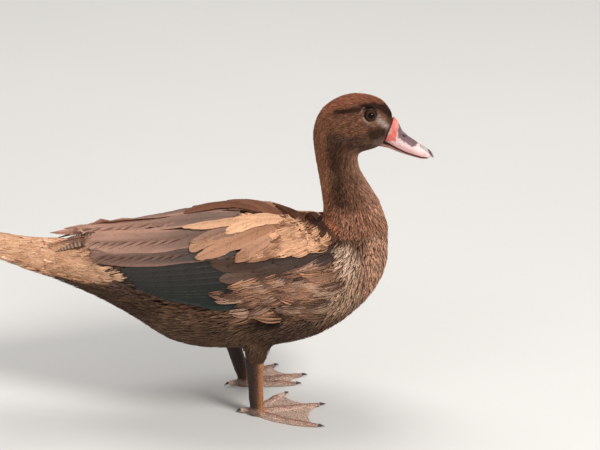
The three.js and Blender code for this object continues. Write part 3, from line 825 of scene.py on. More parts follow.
def flock(name, batches):
    """One mesh object from batches of laid feathers, with its colours and its two maps."""
    spots = unwrapped(np.concatenate([batch["bake"] for batch in batches]))
    low, high = spots.min(0), spots.max(0)
    points, faces, tint, bake, vane = [], [], [], [], []
    base = 0
    first = 0
    margin = 1.5 * PATCH
    for batch in batches:
        count, corners = batch["points"].shape[:2]
        share = (spots[first:first + count] - low) / np.maximum(high - low, 1e-6)
        spot = share * (1 - 2 * margin) + margin
        first += count
        size = PATCH
        if "cell" in batch:
            spot, size = batch["cell"][None], batch["cell_size"]
        points.append(batch["points"].reshape(-1, 3))
        tint.append(np.clip(batch["tint"], 0.002, 0.95).reshape(-1, 3))
        bake.append((spot[:, None] + batch["local"][None] * size).reshape(-1, 2))
        vane.append(batch["vane"].reshape(-1, 2))
        offsets = base + corners * np.arange(count)[:, None, None]
        faces.append((batch["faces"][None] + offsets).reshape(-1, 3))
        base += count * corners
    points, faces = np.concatenate(points), np.concatenate(faces)
    mesh = bpy.data.meshes.new(name)
    mesh.vertices.add(len(points))
    mesh.vertices.foreach_set("co", points.astype(np.float32).ravel())
    mesh.loops.add(faces.size)
    mesh.loops.foreach_set("vertex_index", faces.astype(np.int32).ravel())
    mesh.polygons.add(len(faces))
    mesh.polygons.foreach_set("loop_start", np.arange(0, faces.size, 3, dtype=np.int32))
    mesh.polygons.foreach_set("use_smooth", np.ones(len(faces), dtype=bool))
    mesh.update(calc_edges=True)
    tinted(mesh, np.concatenate(tint))
    for map_name, rows in (("OFBake", bake), ("vane", vane)):
        layer = mesh.uv_layers.new(name=map_name)
        layer.data.foreach_set("uv", np.concatenate(rows)[faces.ravel()].astype(np.float32).ravel())
    piece = placed(name, mesh)
    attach(piece, "root")
    return piece


def room_for(points, reach):
    """Keeps points that stand at least their own reach from those kept before."""
    cell = reach.max()
    grid = {}
    kept = []
    keys = np.floor(points / cell).astype(int).tolist()
    rows = zip(points.tolist(), (reach**2).tolist(), keys)
    for index, ((x, y, z), room, key) in enumerate(rows):
        around = product(*[(k - 1, k, k + 1) for k in key])
        near = (spot for spots in around for spot in grid.get(spots, ()))
        if all((px - x) ** 2 + (py - y) ** 2 + (pz - z) ** 2 >= room for px, py, pz in near):
            grid.setdefault(tuple(key), []).append((x, y, z))
            kept.append(index)
    return np.array(kept, dtype=int)


corner_places = np.array([[vert.co[:] for vert in face.verts] for face in outline.faces])
face_middles = corner_places.mean(1)
face_areas = np.array([face.calc_area() for face in outline.faces])
bill_parts = fused([copy_of("bill_upper"), copy_of("bill_lower")], BILL_FENCE_GRAIN)
bill_tree = BVHTree.FromBMesh(bill_parts)
bill_parts.free()
FACE_FROM = np.array([165, -1000, 235]) * MM  # only feathers ahead of and above this can meet the bill


def bare(points):
    """True on the bill's seat, on the eyelids and below the leg feathers."""
    naked = points[:, 2] < BARE_LEG
    folded = points * (1, 0, 1) - np.abs(points) * (0, 1, 0)
    from_eye = folded - np.array(eye_centre)
    reach = np.linalg.norm(from_eye, axis=1)
    angle = np.degrees(np.arccos(np.clip(from_eye @ np.array(FACE_OUT) / reach, -1, 1)))
    naked |= (reach < BARE_EYE_REACH) & (angle < BARE_EYE)
    for index in np.nonzero((points > FACE_FROM).all(1))[0]:
        if bill_tree.find_nearest(points[index])[3] < BILL_EDGE:
            naked[index] = True
    return naked


def part_of(points):
    """The part of the coat that each point belongs to."""
    x, y, z = points.T
    tests = [
        (z > 246 * MM) & (x > 100 * MM), (z > 186 * MM) & (x > 112 * MM),
        x > 104 * MM, x < -42 * MM, y < 0,
    ]
    return np.select(tests, ["head", "neck", "breast", "rump", "right"], "left")


def roots_in(part, spread):
    """Roots scattered over one part of the outline."""
    inside = part_of(face_middles) == part
    middles, corners = face_middles[inside], corner_places[inside]
    width = lie_of(middles)[2]
    crowd = face_areas[inside] / (width * spread) ** 2
    count = int(crowd.sum() * CROWD)
    chosen = rng.choice(len(middles), count, p=crowd / crowd.sum())
    one, two = rng.random((2, count))
    fold = one + two > 1
    one[fold], two[fold] = 1 - one[fold], 1 - two[fold]
    first, second, third = corners[chosen].transpose(1, 0, 2)
    points = first + (second - first) * one[:, None] + (third - first) * two[:, None]
    points = points[room_for(points, width[chosen] * spread)]
    return points[~bare(points)]


DOWN = blade([(0, 0.6), (0.35, 1.0), (0.75, 0.55)], 3)
SOFT = blade([(0, 0.5), (0.3, 0.95), (0.62, 0.95), (0.86, 0.5)], 4)
FRAYED = blade([(0, 0.4), (0.35, 0.8), (0.65, 0.55)], 3)


def turned(heading, up, degrees):
    """Headings turned about the way the surface faces."""
    angle = np.radians(degrees)[:, None]
    return heading * np.cos(angle) + np.cross(up, heading) * np.sin(angle)


def clumps(points, size):
    """Smooth values about 0 that change over a length of size."""
    return np.array([noise.noise(Vector(point) / size) for point in points.tolist()])


def coat(part, forms, clump, sway, thick, curl, spread=SPACING, shade=(0.7, 1.12)):
    """The small feathers of one part of the body. Neighbours nearer than clump share a tone."""
    root = roots_in(part, spread)
    heading, length, width, tones = lie_of(root)
    _, up = nearest(root)
    heading = turned(tangent(heading, up), up, rng.normal(0, sway, len(root)))
    length = length * rng.uniform(*LENGTHS, len(root))
    pick = rng.integers(0, len(forms), len(root))
    batches = []
    for k, form in enumerate(forms):
        mine = pick == k
        count = mine.sum()
        drop = -coat_depth(root[mine])
        half = width[mine] * rng.uniform(*WIDTHS, count) / 2
        high = rng.normal(0, PROUD, count) * MM + drop * SUNK
        lift = curl * rng.random(count) * length[mine] * CURL
        thickness = width[mine] * thick
        batch = lay(form, root[mine], heading[mine], length[mine], half, thickness, drop, high, lift, shade)
        tone = clumps(root[mine], clump * MM) * CLUMP_TONE + rng.normal(0, OWN_TONE, count)
        batch["tint"] = batch["tint"] * np.exp(tone * tones[mine])[:, None, None]
        batches.append(batch)
    return flock("coat_" + part, batches)


coat_pieces = [
    coat("head", [DOWN], 2.5, 12, 0.16, 2.0, 0.68),
    coat("neck", [DOWN, SOFT], 3.5, 10, 0.1, 1.4, shade=(0.7, 1.22)),
    coat("breast", [SOFT, FRAYED], 6, 16, 0.06, 1.4, shade=(0.7, 1.18)),
    coat("right", [SOFT, FRAYED], 8, 12, 0.05, 1.0, 0.68),
    coat("left", [SOFT, FRAYED], 8, 12, 0.05, 1.0, 0.68),
    coat("rump", [SOFT, FRAYED], 9, 12, 0.04, 1.0, 0.5, (0.88, 1.12)),
]

feather_finish, start, shine = finish_of("small_feathers", Specular_IOR_Level=0.1)
vane_map = start.out(start.node("ShaderNodeUVMap", {"uv_map": "vane"}))
barbs = vane_map.stretched((2600, 330, 1)).noise(1.0, 2.0)
mottle = own_place(start).noise(330, 2.0)
feed(shine, start, "Base Color", attribute(start, "tint").lit(0.36 + barbs * 0.62 + mottle * 0.66))
feed(shine, start, "Roughness", 0.5 + barbs * 0.3)
relief(shine, start, barbs, 0.25 * MM, 0.6)
for piece in coat_pieces:
    piece.data.materials.append(feather_finish)


# ---- the wings' large feathers ----
# Stiff vanes folded flat along the side: dark secondaries in a fan, three long tertials over them,
# primary tips behind, coverts at the bend and broad tan scapulars over the shoulder. Each is a
# cambered sheet with a raised shaft, laid on the outline along three places on the card.
BLUNT = [(0, 0.75), (0.12, 0.92), (0.5, 1.0), (0.8, 0.95), (0.93, 0.72), (1, 0.22)]
ROUND = [(0, 0.5), (0.25, 0.88), (0.55, 1.0), (0.8, 0.88), (0.93, 0.56), (1, 0.12)]
POINTED = [(0, 0.5), (0.2, 0.9), (0.5, 1.0), (0.72, 0.8), (0.9, 0.4), (1, 0.05)]
VANE_THICK = 0.5 * MM
CAMBER = 0.7  # how far the vane's edges drop, in its own thickness
SHINGLE = 0.35 * MM  # how far the lower edge stands over the next feather
SHAFT = 0.9  # how far the shaft stands up
SHAFT_HALF = 0.1  # half width of the shaft, as part of the vane's
SHAFT_SHADE = 0.82
OUTWARD = np.array([0, -0.85, 0.52])  # the way a wing tip that stands free faces
HUG = 7 * MM  # how soon a vane that stands off the body stops following its curve
HUG_FULL = 1.7
TONE_RUN = 1.3  # how fast the root's colour turns to the tip's
FRINGE = 0.72  # the edge's colour begins this far out
EDGE_ON = 0.78  # a vane seen from the side is never widened by more than this allows
RIDGE_HALF = 8 * MM  # a feather this near the ridge isn't mirrored to the left
MANTLE_REACH = 32 * MM  # left of the ridge the tan starts lower, past this
MANTLE_DYE = np.array([0.25, 0.18, 0.165])  # turns tan to the mantle's red brown

PINK_BROWN = paint(184, 140, 120)
DUSKY = paint(116, 92, 81)
SLATE = paint(62, 58, 55)
DEEP_GREEN = paint(43, 52, 47)
GREY_BROWN = paint(80, 60, 50)
SHADOW_BROWN = paint(56, 41, 35)
TAN = paint(212, 164, 128)
PALE_TAN = paint(234, 190, 154)
WARM_BROWN = paint(160, 114, 86)
BUFF = paint(202, 166, 140)


def vane_shape(form, frayed, across, rows):
    """One large feather's sheet, 1 long and 2 wide, with nicks in its edge where barbs part."""
    shape = bmesh.new()
    bmesh.ops.create_grid(shape, x_segments=across, y_segments=rows, size=1)
    bmesh.ops.solidify(shape, geom=shape.faces[:], thickness=0.6)
    nicks = 1 - frayed * rng.random((2, rows + 1)) ** 3
    for vert in shape.verts:
        x, y, layer = vert.co
        t = (y + 1) / 2
        stop = 1 - (1 - t) ** 1.5
        half = float(np.interp(stop, *zip(*form)))
        if abs(x) > 0.9:
            half *= nicks[int(x > 0)][round(t * rows)]
        ridge = SHAFT if abs(x) < SHAFT_HALF else 0
        vert.co = (x * half, layer + ridge - CAMBER * x * x, stop)
    bmesh.ops.recalc_face_normals(shape, faces=shape.faces)
    return shape_read(shape)


def arc(start, middle, end, t):
    """The place at t, from 0 to 1, on the curve through three places."""
    return start * (1 - t) * (1 - 2 * t) + middle * 4 * t * (1 - t) + end * t * (2 * t - 1)


def on_side(along, up, lift):
    """The place on the bird's right side behind a place on the card, and lift above the outline."""
    target = CARD_MIDDLE + Vector((along * MM - CARD_MIDDLE.x, 0, 0)) + UPWARD * (up * MM - CARD_UP)
    way = (target - SIGHT).normalized()
    place, facing, _, _ = outline_tree.ray_cast(SIGHT, way)
    if place is None:
        tries = [SIGHT + way * (CARD_FROM + step * 2 * MM) for step in range(-40, 41)]
        place = min(tries, key=lambda spot: outline_tree.find_nearest(spot)[3])
        facing = -way
    return place - way * (lift * MM / max(0.35, -way.dot(facing)))


def sheet(points, faces, corners, tint, half, length, root):
    """One large feather as a batch for flock, with its own place on both maps."""
    return {
        "points": points[None], "faces": faces, "tint": tint[None], "bake": root[None],
        "local": np.stack([corners[:, 0] / 2, corners[:, 2] - 0.5], 1),
        "vane": np.stack([corners[:, 0] * half, corners[:, 2] * length], 1)[None],
    }


def big_feather(card_line, half, lifts, form, tones, frayed=0.12, grid=(8, 13), bars=0.0, hugs=1.0):
    """One large feather. tones are its colours at the root, at the tip and along its edge."""
    corners, faces = vane_shape(form, frayed, *grid)
    root, middle, tip = [np.array(on_side(*spot, lift)) for spot, lift in zip(card_line, lifts)]
    stops, row = np.unique(corners[:, 2].round(4), return_inverse=True)
    centre = arc(root, middle, tip, stops[:, None])
    _, up = nearest(centre)
    if not hugs:
        up = np.tile(OUTWARD, (len(centre), 1))
    along = unit(np.gradient(centre, stops, axis=0))
    up = tangent(up, along)
    side = np.cross(up, along)
    half = half / np.clip(-up @ np.array(LOOK), EDGE_ON, 1)[row] * MM
    spread = centre[row] + side[row] * (corners[:, 0] * half)[:, None]
    under, facing = nearest(spread)
    gap = np.linalg.norm(spread - under, axis=1)
    hug = np.clip(HUG_FULL - gap / HUG, 0, 1)[:, None] * hugs
    camber = corners[:, 1:2] * VANE_THICK + corners[:, :1] * SHINGLE
    height = np.interp(corners[:, 2:3], (0, 0.5, 1), lifts) * MM
    pressed = under + facing * (height + camber)
    points = (spread + up[row] * camber) * (1 - hug) + pressed * hug
    base, end, fringe = tones
    tint = base + (end - base) * np.clip(corners[:, 2:3] * TONE_RUN + 1 - TONE_RUN, 0, 1)
    edge = np.clip((np.abs(corners[:, 0]) - FRINGE) / (1 - FRINGE), 0, 1)[:, None]
    tint = tint * (1 - edge) + fringe * edge
    tint = np.where(np.abs(corners[:, :1]) < SHAFT_HALF, tint * SHAFT_SHADE, tint)
    tint = tint * (1 - bars * (row % 2))[:, None]
    length = np.linalg.norm(np.diff(centre, axis=0), axis=1).sum()
    return sheet(points, faces, corners, tint, half, length, centre[0])


def mirrored(batch):
    """The same feather on the left side, dyed where the mantle's brown reaches lower there."""
    flip = np.array([1, -1, 1])
    x, y, _ = batch["points"].reshape(-1, 3).mean(0)
    dye = MANTLE_DYE if y > -MANTLE_REACH and x > 0 else 1.0
    return batch | {
        "points": batch["points"] * flip, "bake": batch["bake"] * flip,
        "faces": batch["faces"][:, ::-1], "tint": batch["tint"] * dye,
    }


def cells_for(batches):
    """Gives each large feather a cell of its own on the bake map."""
    across = math.ceil(math.sqrt(len(batches)))
    for k, batch in enumerate(batches):
        batch["cell"] = np.array([k % across + 0.5, k // across + 0.5]) / across
        batch["cell_size"] = 0.9 / across


vane_finish, start, shine = finish_of("large_feathers", Specular_IOR_Level=0.16)
vane_map = start.out(start.node("ShaderNodeUVMap", {"uv_map": "vane"}))
across, along, _ = vane_map.axes()
slant = along - across.size() * 1.1
joined_map = start.out(start.node("ShaderNodeCombineXYZ", X=slant * 1700, Y=across * 160))
barbs = joined_map.noise(1.0, 2.0)
# thin dark partings across the vanes: painted shade in the gaps where the barbs part
splits = start.out(start.node("ShaderNodeCombineXYZ", X=slant * 170, Y=across * 60)).noise(1.0, 1.0)
gap = 1 - (splits - 0.5).size().rise(0.0, 0.022)
feed(shine, start, "Base Color", attribute(start, "tint").lit((0.72 + barbs * 0.5) * (1 - gap * 0.24)))
feed(shine, start, "Roughness", 0.48 + barbs * 0.25)
relief(shine, start, barbs * 0.5 - gap * 0.6, 0.25 * MM, 0.6)


def pair_of(kind, batches):
    """The right side's feathers as one piece, and their mirror on the left as another."""
    aside = [batch for batch in batches if abs(batch["points"][..., 1].mean()) > RIDGE_HALF]
    pair = []
    for side, mine in (("right", batches), ("left", [mirrored(batch) for batch in aside])):
        piece = flock(f"{kind}_{side}", mine)
        piece.data.materials.append(vane_finish)
        pair.append(piece)
    return pair


wing = []
# tips of the primaries: two with their barbs parted into dark and pale bars, two plainer above
for card_line, half, tone, bars in (
    ([(-71, 152), (-93, 154), (-115, 153.5)], 4.2, BUFF * 0.8, 0.84),
    ([(-70, 152), (-97, 150.5), (-126, 140.5)], 3.2, BUFF * 0.9, 0.86),
    ([(-73, 158), (-100, 159.5), (-131, 158.5)], 3.8, PINK_BROWN * 1.1, 0.16),
    ([(-66, 162), (-90, 164), (-118, 162.5)], 3.2, PINK_BROWN, 0.22),
):
    tones = (tone * 0.6, tone, tone)
    wing.append(big_feather(card_line, half, (-2.0, 0.0, 1.0), POINTED, tones, 0.3, (8, 34), bars, 0.0))
# one long feather down the middle of the back, under both wings' edges
tones = (DUSKY, PINK_BROWN * 0.8, PINK_BROWN * 0.7)
wing.append(big_feather([(46, 178), (-30, 168), (-104, 155)], 9.5, (0.3, 0.2, -0.4), ROUND, tones, 0.04))
# the fan of secondaries, lowest first
FAN = np.array([
    [(52, 97), (36, 92), (8, 92)], [(52, 104), (20, 98), (-31, 100)],
    [(52, 114), (5, 109), (-52, 108)], [(48, 135), (-5, 129.5), (-66, 123)],
], dtype=float)
SECONDARIES = 13
for k in range(SECONDARIES):
    share = k / (SECONDARIES - 1)
    stop = share * (len(FAN) - 1)
    before = min(int(stop), len(FAN) - 2)
    card_line = FAN[before] + (FAN[before + 1] - FAN[before]) * (stop - before)
    tone = DEEP_GREEN * (1 - share) + SLATE * share
    lift = 0.3 + 0.1 * k
    # painted sheen: each secondary's edge is much brighter than its vane
    tones = (tone * 0.6, tone * 0.85, tone * 2.2)
    wing.append(big_feather(card_line, 5.2, (lift, lift + 0.2, lift + 0.3), BLUNT, tones, 0.04, (6, 13)))
# three long tertials, lowest first, their lower webs parted into slanting strips of barbs
PARTINGS = 9
DULL_BROWN = paint(138, 105, 91)
DULL_EDGE = paint(160, 121, 104)
STRIP = np.array([-22, -8.5])  # from the shaft to a strip's end
STRIP_BOW = np.array([-1.5, 1.2])
STRIP_HALF = 1.8
for card_line, half, lift, tones in (
    ([(42, 145), (-28, 138), (-94, 139)], 9.5, 1.8, (SLATE * 1.15, DULL_BROWN, DULL_EDGE)),
    ([(42, 160), (-33, 152.5), (-100, 151)], 13.0, 2.12, (DUSKY * 0.85, paint(172, 132, 114), PINK_BROWN)),
    ([(41, 173), (-37, 167), (-108, 162.5)], 14.0, 2.4, (DUSKY, PINK_BROWN, PINK_BROWN * 1.1)),
):
    wing.append(big_feather(card_line, half, (lift, lift + 0.2, lift + 0.5), BLUNT, tones, 0.1))
    lifts = (lift + 0.5, lift + 1.1, lift + 0.8)
    for k in range(PARTINGS):
        t = 0.3 + 0.55 * (k + 0.3 * rng.random()) / (PARTINGS - 1)
        shaft = arc(*np.array(card_line), t)
        end = shaft + STRIP * rng.uniform(0.75, 0.95)
        bend = (shaft + end) / 2 + STRIP_BOW
        tone = (tones[0] * max(0, 0.5 - t) + tones[1] * min(1, 0.5 + t)) * rng.uniform(0.88, 1.12)
        # painted shade: each strip's root and edges are darker, for the shadow in the partings between
        # strips
        strip_shaded_tones = (tone * 0.5, tone * 1.06, tone * 0.16)
        wing.append(big_feather([shaft, bend, end], STRIP_HALF, lifts, POINTED, strip_shaded_tones, 0.1, (4, 6)))
# coverts over the secondaries and at the bend of the wing
for card_line, half, tones in (
    ([(102, 122), (79, 115), (49, 108)], 6.5, (GREY_BROWN, paint(112, 87, 73), paint(124, 97, 82))),
    ([(91, 126), (60, 120), (26, 114.5)], 8.0, (GREY_BROWN, paint(98, 76, 64), paint(108, 84, 72))),
    ([(92, 135), (55, 130), (17, 130)], 8.5, (SHADOW_BROWN, GREY_BROWN, paint(112, 86, 78))),
    ([(111, 131), (92, 124), (66, 116.5)], 6.5, (SHADOW_BROWN, GREY_BROWN, GREY_BROWN * 1.2)),
    ([(119, 135), (92, 128), (57, 122)], 6.5, (SHADOW_BROWN, GREY_BROWN * 0.9, GREY_BROWN * 1.1)),
    ([(122, 142), (102, 136), (76, 131)], 6.0, (SHADOW_BROWN, SHADOW_BROWN * 1.1, GREY_BROWN)),
    ([(132, 137), (116, 130.5), (97, 127.5)], 5.5, (SHADOW_BROWN, SHADOW_BROWN * 1.1, GREY_BROWN)),
    ([(130, 146), (116, 142.5), (94, 140)], 5.5, (SHADOW_BROWN, SHADOW_BROWN * 1.1, GREY_BROWN)),
):
    wing.append(big_feather(card_line, half, (1.4, 2.0, 2.2), ROUND, tones, 0.1))
# scapulars, lowest first
LOW_TAN = paint(176, 132, 106)
MID_TAN = paint(180, 134, 106)
for card_line, half, tones in (
    ([(58, 166), (24, 157), (-1, 150)], 7.5, (DUSKY, paint(158, 118, 96), paint(170, 130, 106))),
    ([(66, 174), (29, 168), (-8, 165)], 8.2, (paint(190, 144, 112), TAN, TAN * 1.1)),
    ([(58, 165), (22, 155), (-1, 141)], 8.0, (WARM_BROWN, paint(172, 128, 102), paint(186, 140, 112))),
    ([(104, 174), (74, 174.5), (36, 171)], 6.0, (TAN * 0.9, TAN, TAN * 1.05)),
    ([(84, 166), (42, 151.5), (4, 134.5)], 8.2, (WARM_BROWN * 0.9, MID_TAN, paint(200, 152, 120))),
    ([(92, 173), (63, 170), (32, 158)], 8.0, (TAN, TAN * 1.05, PALE_TAN)),
    ([(102, 172), (78, 171), (50, 163)], 7.5, (TAN * 0.9, TAN, PALE_TAN)),
    ([(92, 162), (66, 149), (41, 131.5)], 7.8, (LOW_TAN, paint(156, 114, 88), paint(172, 128, 100))),
    ([(106, 160), (83, 148), (57, 134)], 7.0, (paint(180, 136, 106), WARM_BROWN, TAN)),
    ([(112, 157), (94, 149), (74, 136)], 7.0, (TAN, WARM_BROWN * 1.1, TAN)),
):
    form = POINTED if half < 7.6 else ROUND
    wing.append(big_feather(card_line, half, (2.6, 3.3, 3.6), form, tones, 0.22))
# brown mantle feathers along the ridge, from the tertials' roots forward to the neck
for card_line, tone in (
    ([(58, 183), (22, 181), (-14, 176)], paint(150, 112, 92)),
    ([(76, 182), (42, 182), (6, 178)], paint(128, 94, 76)),
    ([(92, 178), (64, 181), (34, 180)], paint(106, 74, 60)),
    ([(108, 174), (88, 179), (60, 183)], paint(92, 62, 48)),
    ([(118, 169), (104, 175), (84, 181)], paint(84, 56, 43)),
    ([(126, 161), (116, 168), (101, 176)], paint(78, 52, 40)),
    ([(131, 154), (122, 162), (109, 171)], paint(84, 54, 41)),
    ([(134, 149), (127, 156), (116, 164)], paint(92, 60, 45)),
):
    wing.append(big_feather(card_line, 4.2, (0.6, 1.0, 1.4), POINTED, (tone * 0.8, tone, tone * 1.1), 0.2))

cells_for(wing)
for side, piece in zip(("right", "left"), pair_of("wing_feathers", wing)):
    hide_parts("wing_" + side)


# ---- the loose locks of the flank ----
# Soft brown locks that hang over the wing's lower edge, in rows from the edge down. Each is a
# handful of narrow wisps from one spot, spread at the root and drawn together toward the tip.
FLANK_EDGE = np.array([(18, 97), (33, 106), (49, 110), (66, 114), (83, 117), (99, 121)])
FLANK_ROWS = 9
FLANK_STEP = np.array([5.0, -5.0])  # from one row to the next
FLANK_RUN = 29  # how far forward a root lies from its tip, and how far up
FLANK_RISE = 8
FLANK_FLOOR = 73
DARK_SPOT = (72, 74)  # the middle and the half widths of a patch that stays free
DARK_HALF = (17, 8)
FLANK_FRONT = ((73, 82, 96, 115, 130), (112, 126, 138, 148, 150))  # how far forward their roots reach
FLANK_TONES = [(198, 148, 114), (158, 116, 94), (178, 132, 106), (122, 88, 70), (204, 164, 138)]


def lock(tip, run, spread, lifts, tone, broad, streak=0.3, bow=1.5, wisps=8):
    """A lock whose tip is at a place on the card, with its root one run further forward."""
    root = tip + run
    length = np.linalg.norm(tip - root)
    way = (tip - root) / length
    across = np.array([-way[1], way[0]])
    made = []
    for k in range(wisps):
        aside = (k / (wisps - 1) - 0.5) * spread + rng.normal(0, 0.5)
        start = root + across * aside + way * length * rng.uniform(0, 0.2)
        end = tip + across * aside * rng.uniform(0.1, 0.8)
        end = end - way * length * rng.uniform(0.01, 0.07) * abs(aside)
        middle = (start + end) / 2 + across * (aside * 0.35 + bow)
        shade = tone * math.exp(streak * min(1.2, rng.normal()))
        tones = (shade * (1 - streak), shade * 1.05, shade * 0.93)
        half = spread * broad * rng.uniform(0.7, 1.3)
        made.append(big_feather([start, middle, end], half, lifts, POINTED, tones, 0.15, (2, 6)))
    return made


flank_locks = []
for row in range(FLANK_ROWS):
    for k in range(12 - row // 2):
        edge_tip = np.array([np.interp(k / 2, range(6), column) for column in FLANK_EDGE.T])
        tip = edge_tip + FLANK_STEP * row + rng.normal(0, 2.0, 2)
        run = np.array([FLANK_RUN, FLANK_RISE + rng.normal(0, 5)]) * rng.uniform(0.75, 1.2)
        tone = paint(*FLANK_TONES[rng.integers(0, len(FLANK_TONES))]) * (1 - 0.06 * row)
        tone = tone * (0.82 if row < 2 and k > 4 else 1)
        stand = 1 - row / FLANK_ROWS
        on_spot = np.hypot(*(tip - DARK_SPOT) / DARK_HALF) < 1
        ahead = (tip + run)[0] - np.interp((tip + run)[1], *FLANK_FRONT)
        if tip[1] > FLANK_FLOOR and ahead < 0 and not on_spot:
            flank_locks += lock(tip, run, 6.5, (0.2, 0.5 + 2.1 * stand, 0.3 + 2.1 * stand), tone, 0.085)


# ---- the tufts of the shoulder ----
# Flat golden tufts over the scapulars' roots, from the lesser coverts up to the mantle.
SHOULDER_EDGE = [(43, 132), (56, 133), (70, 135), (84, 138), (98, 141), (110, 144), (120, 147)]
SHOULDER_ROWS = 7
SHOULDER_STEP = np.array([1.0, 5.0])  # from one row to the next
SHOULDER_SHIFT = 7  # between the two tufts of each place
SHOULDER_RUN = 19
SHOULDER_RISE = 9
SHOULDER_TOP = ((60, 84, 100, 112, 122, 132), (177.5, 176, 171.5, 163.5, 155, 149))  # their upper limit
SHOULDER_FRONT = 124
shoulder_tufts = []
for row in range(SHOULDER_ROWS):
    for edge_tip in SHOULDER_EDGE[min(row, 2):]:
        for shift in (0, SHOULDER_SHIFT):
            tip = SHOULDER_STEP * row + edge_tip + (shift, 0) + rng.normal(0, 1.5, 2)
            run = np.array([SHOULDER_RUN, SHOULDER_RISE + rng.normal(0, 3)]) * rng.uniform(0.8, 1.15)
            over = (tip + run)[1] - np.interp((tip + run)[0], *SHOULDER_TOP)
            run = run * np.clip(1 - max(0, over) / 10, 0.45, 1)
            lifts = (0.6 if over > -6 else 2.0, 3.6, 3.4)
            tone = (TAN if rng.random() < 0.75 else WARM_BROWN) * rng.uniform(0.8, 1.15)
            if tip[1] < np.interp(tip[0], *SHOULDER_TOP) - 2 and tip[0] < SHOULDER_FRONT:
                shoulder_tufts += lock(tip, run, 5.5, lifts, tone, 0.11, 0.16)
pair_of("shoulder_tufts", shoulder_tufts)
pair_of("flank_locks", flank_locks)


# ---- the tufts of the rump ----
# Long soft sandy tufts along the rump and the tail's coverts, behind the wing and under its tip.
RUMP_TONES = [(230, 184, 148), (216, 168, 132), (222, 174, 140), (200, 152, 118)]
RUMP_TOP = ((-210, -135, -110, -93, -80, -66, -55), (152, 149, 142, 130, 122, 113, 106))
RUMP_BOTTOM = ((-210, -55), (142.2, 101.9))
RUMP_FRONT = -58
RUMP_ROWS = 8
RUMP_ACROSS = 16
RUMP_FIRST = np.array([-206, 156])
RUMP_STEP = np.array([10.5, -5.5])  # between tufts, and between rows
RUMP_SHIFT = 5  # how far every second row is set forward
rump_tufts = []
for row in range(RUMP_ROWS):
    for k in range(RUMP_ACROSS):
        tip = RUMP_FIRST + RUMP_STEP * (k, row) + (RUMP_SHIFT * (row % 2), rng.normal(0, 1.5))
        bottom, top = [np.interp(tip[0], *limit) for limit in (RUMP_BOTTOM, RUMP_TOP)]
        if bottom < tip[1] < top and tip[0] < RUMP_FRONT:
            run = np.array([40 if tip[0] < -100 else 20, 1 + rng.normal(0, 3)]) * rng.uniform(0.85, 1.1)
            tone = paint(*RUMP_TONES[rng.integers(0, len(RUMP_TONES))])
            rump_tufts += lock(tip, run, 7.5, (-1.0, 0.3, 0.6), tone, 0.1, 0.1, 1.0, 9)
pair_of("rump_tufts", rump_tufts)


# ---- the tail ----
# A closed fan of long sandy feathers, the middle pair on top, each a sheet like those of the wing.
TAIL_PAIRS = 6
TAIL_ROOT = -150
TAIL_MIDDLE = -186
TAIL_TIP = -223
TAIL_GAPS = (2.6, 3.2, 3.4)  # between the feathers at their roots, middles and tips
TAIL_SUNK = 2.5  # how far the roots lie under the coat
TAIL_ROUND = 0.45  # how much shorter the outer feathers are
TAIL_RISE = 0.2
TAIL_EDGE_SHADE = 0.35  # painted shade along their edges, where each lies over the next: how much darker they are
TAIL_TONE = paint(214, 166, 134)
TAIL_HALF = 7.0 * MM
TAIL_LENGTH = 75 * MM


def tail_top(x, y):
    """The top of the outline at a place seen from above, in millimetres."""
    place, _, _, _ = outline_tree.ray_cast(Vector((x, y, 300)) * MM, Vector((0, 0, -1)))
    return place.z / MM if place else 160


tail = []
for k in range(TAIL_PAIRS, -1, -1):
    for hand in ((-1, 1) if k else (1,)):
        at_root, at_middle, at_tip = [hand * k * gap for gap in TAIL_GAPS]
        lift = 0.4 - 0.1 * k
        root = np.array([TAIL_ROOT, at_root, tail_top(TAIL_ROOT, at_root) + lift - TAIL_SUNK])
        middle = np.array([TAIL_MIDDLE, at_middle, tail_top(TAIL_MIDDLE, at_middle) + lift])
        end_height = middle[2] + (middle[2] - root[2]) * TAIL_RISE
        tip = np.array([TAIL_TIP + k * k * TAIL_ROUND, at_tip, end_height])
        corners, faces = vane_shape(ROUND, 0.2, 8, 16)
        t = corners[:, 2:3]
        centre = arc(root, middle, tip, t) * MM
        points = centre.copy()
        points[:, 1] -= corners[:, 0] * TAIL_HALF
        points[:, 2] += corners[:, 1] * VANE_THICK
        tint = TAIL_TONE * rng.uniform(0.82, 1.12) * (0.8 + 0.3 * t)
        # painted shade along each feather's edge
        edge = np.clip((np.abs(corners[:, :1]) - 0.75) * 4, 0, 1)
        tint = tint * (1 - TAIL_EDGE_SHADE * edge)
        tail.append(sheet(points, faces, corners, tint, TAIL_HALF, TAIL_LENGTH, centre[0]))
cells_for(tail)
tail_piece = flock("tail_feathers", tail)
tail_piece.data.materials.append(vane_finish)


# ---- the eyes ----
# Glass-smooth eyeballs with a dark brown iris round a wide pupil, the cornea a low dome in front.
CORNEA_FROM = 0.82  # the dome begins at this cosine off the eye's axis
CORNEA_RISE = 2.4 * MM
PUPIL_EDGE = (2.9 * MM, 3.2 * MM)  # from the front of the eye
IRIS_SPAN = (2.6 * MM, 6.4 * MM)
IRIS_EDGE = (6.4 * MM, 7.0 * MM)


def eyeball(side):
    """One eyeball, in place."""
    shape = bmesh.new()
    bmesh.ops.create_uvsphere(shape, u_segments=48, v_segments=32, radius=EYE_RADIUS)
    turn = Vector((0, 0, 1)).rotation_difference(FACE_OUT).to_matrix()
    bmesh.ops.rotate(shape, verts=shape.verts, matrix=turn)
    for vert in shape.verts:
        facing = vert.co.normalized().dot(FACE_OUT)
        vert.co += FACE_OUT * max(0, facing - CORNEA_FROM) * CORNEA_RISE
    bmesh.ops.translate(shape, verts=shape.verts, vec=eye_centre)
    if side == "left":
        flipped(shape)
    piece = joined([shape], "eyeball_" + side)
    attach(piece, "root")
    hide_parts("eye_" + side)
    return piece


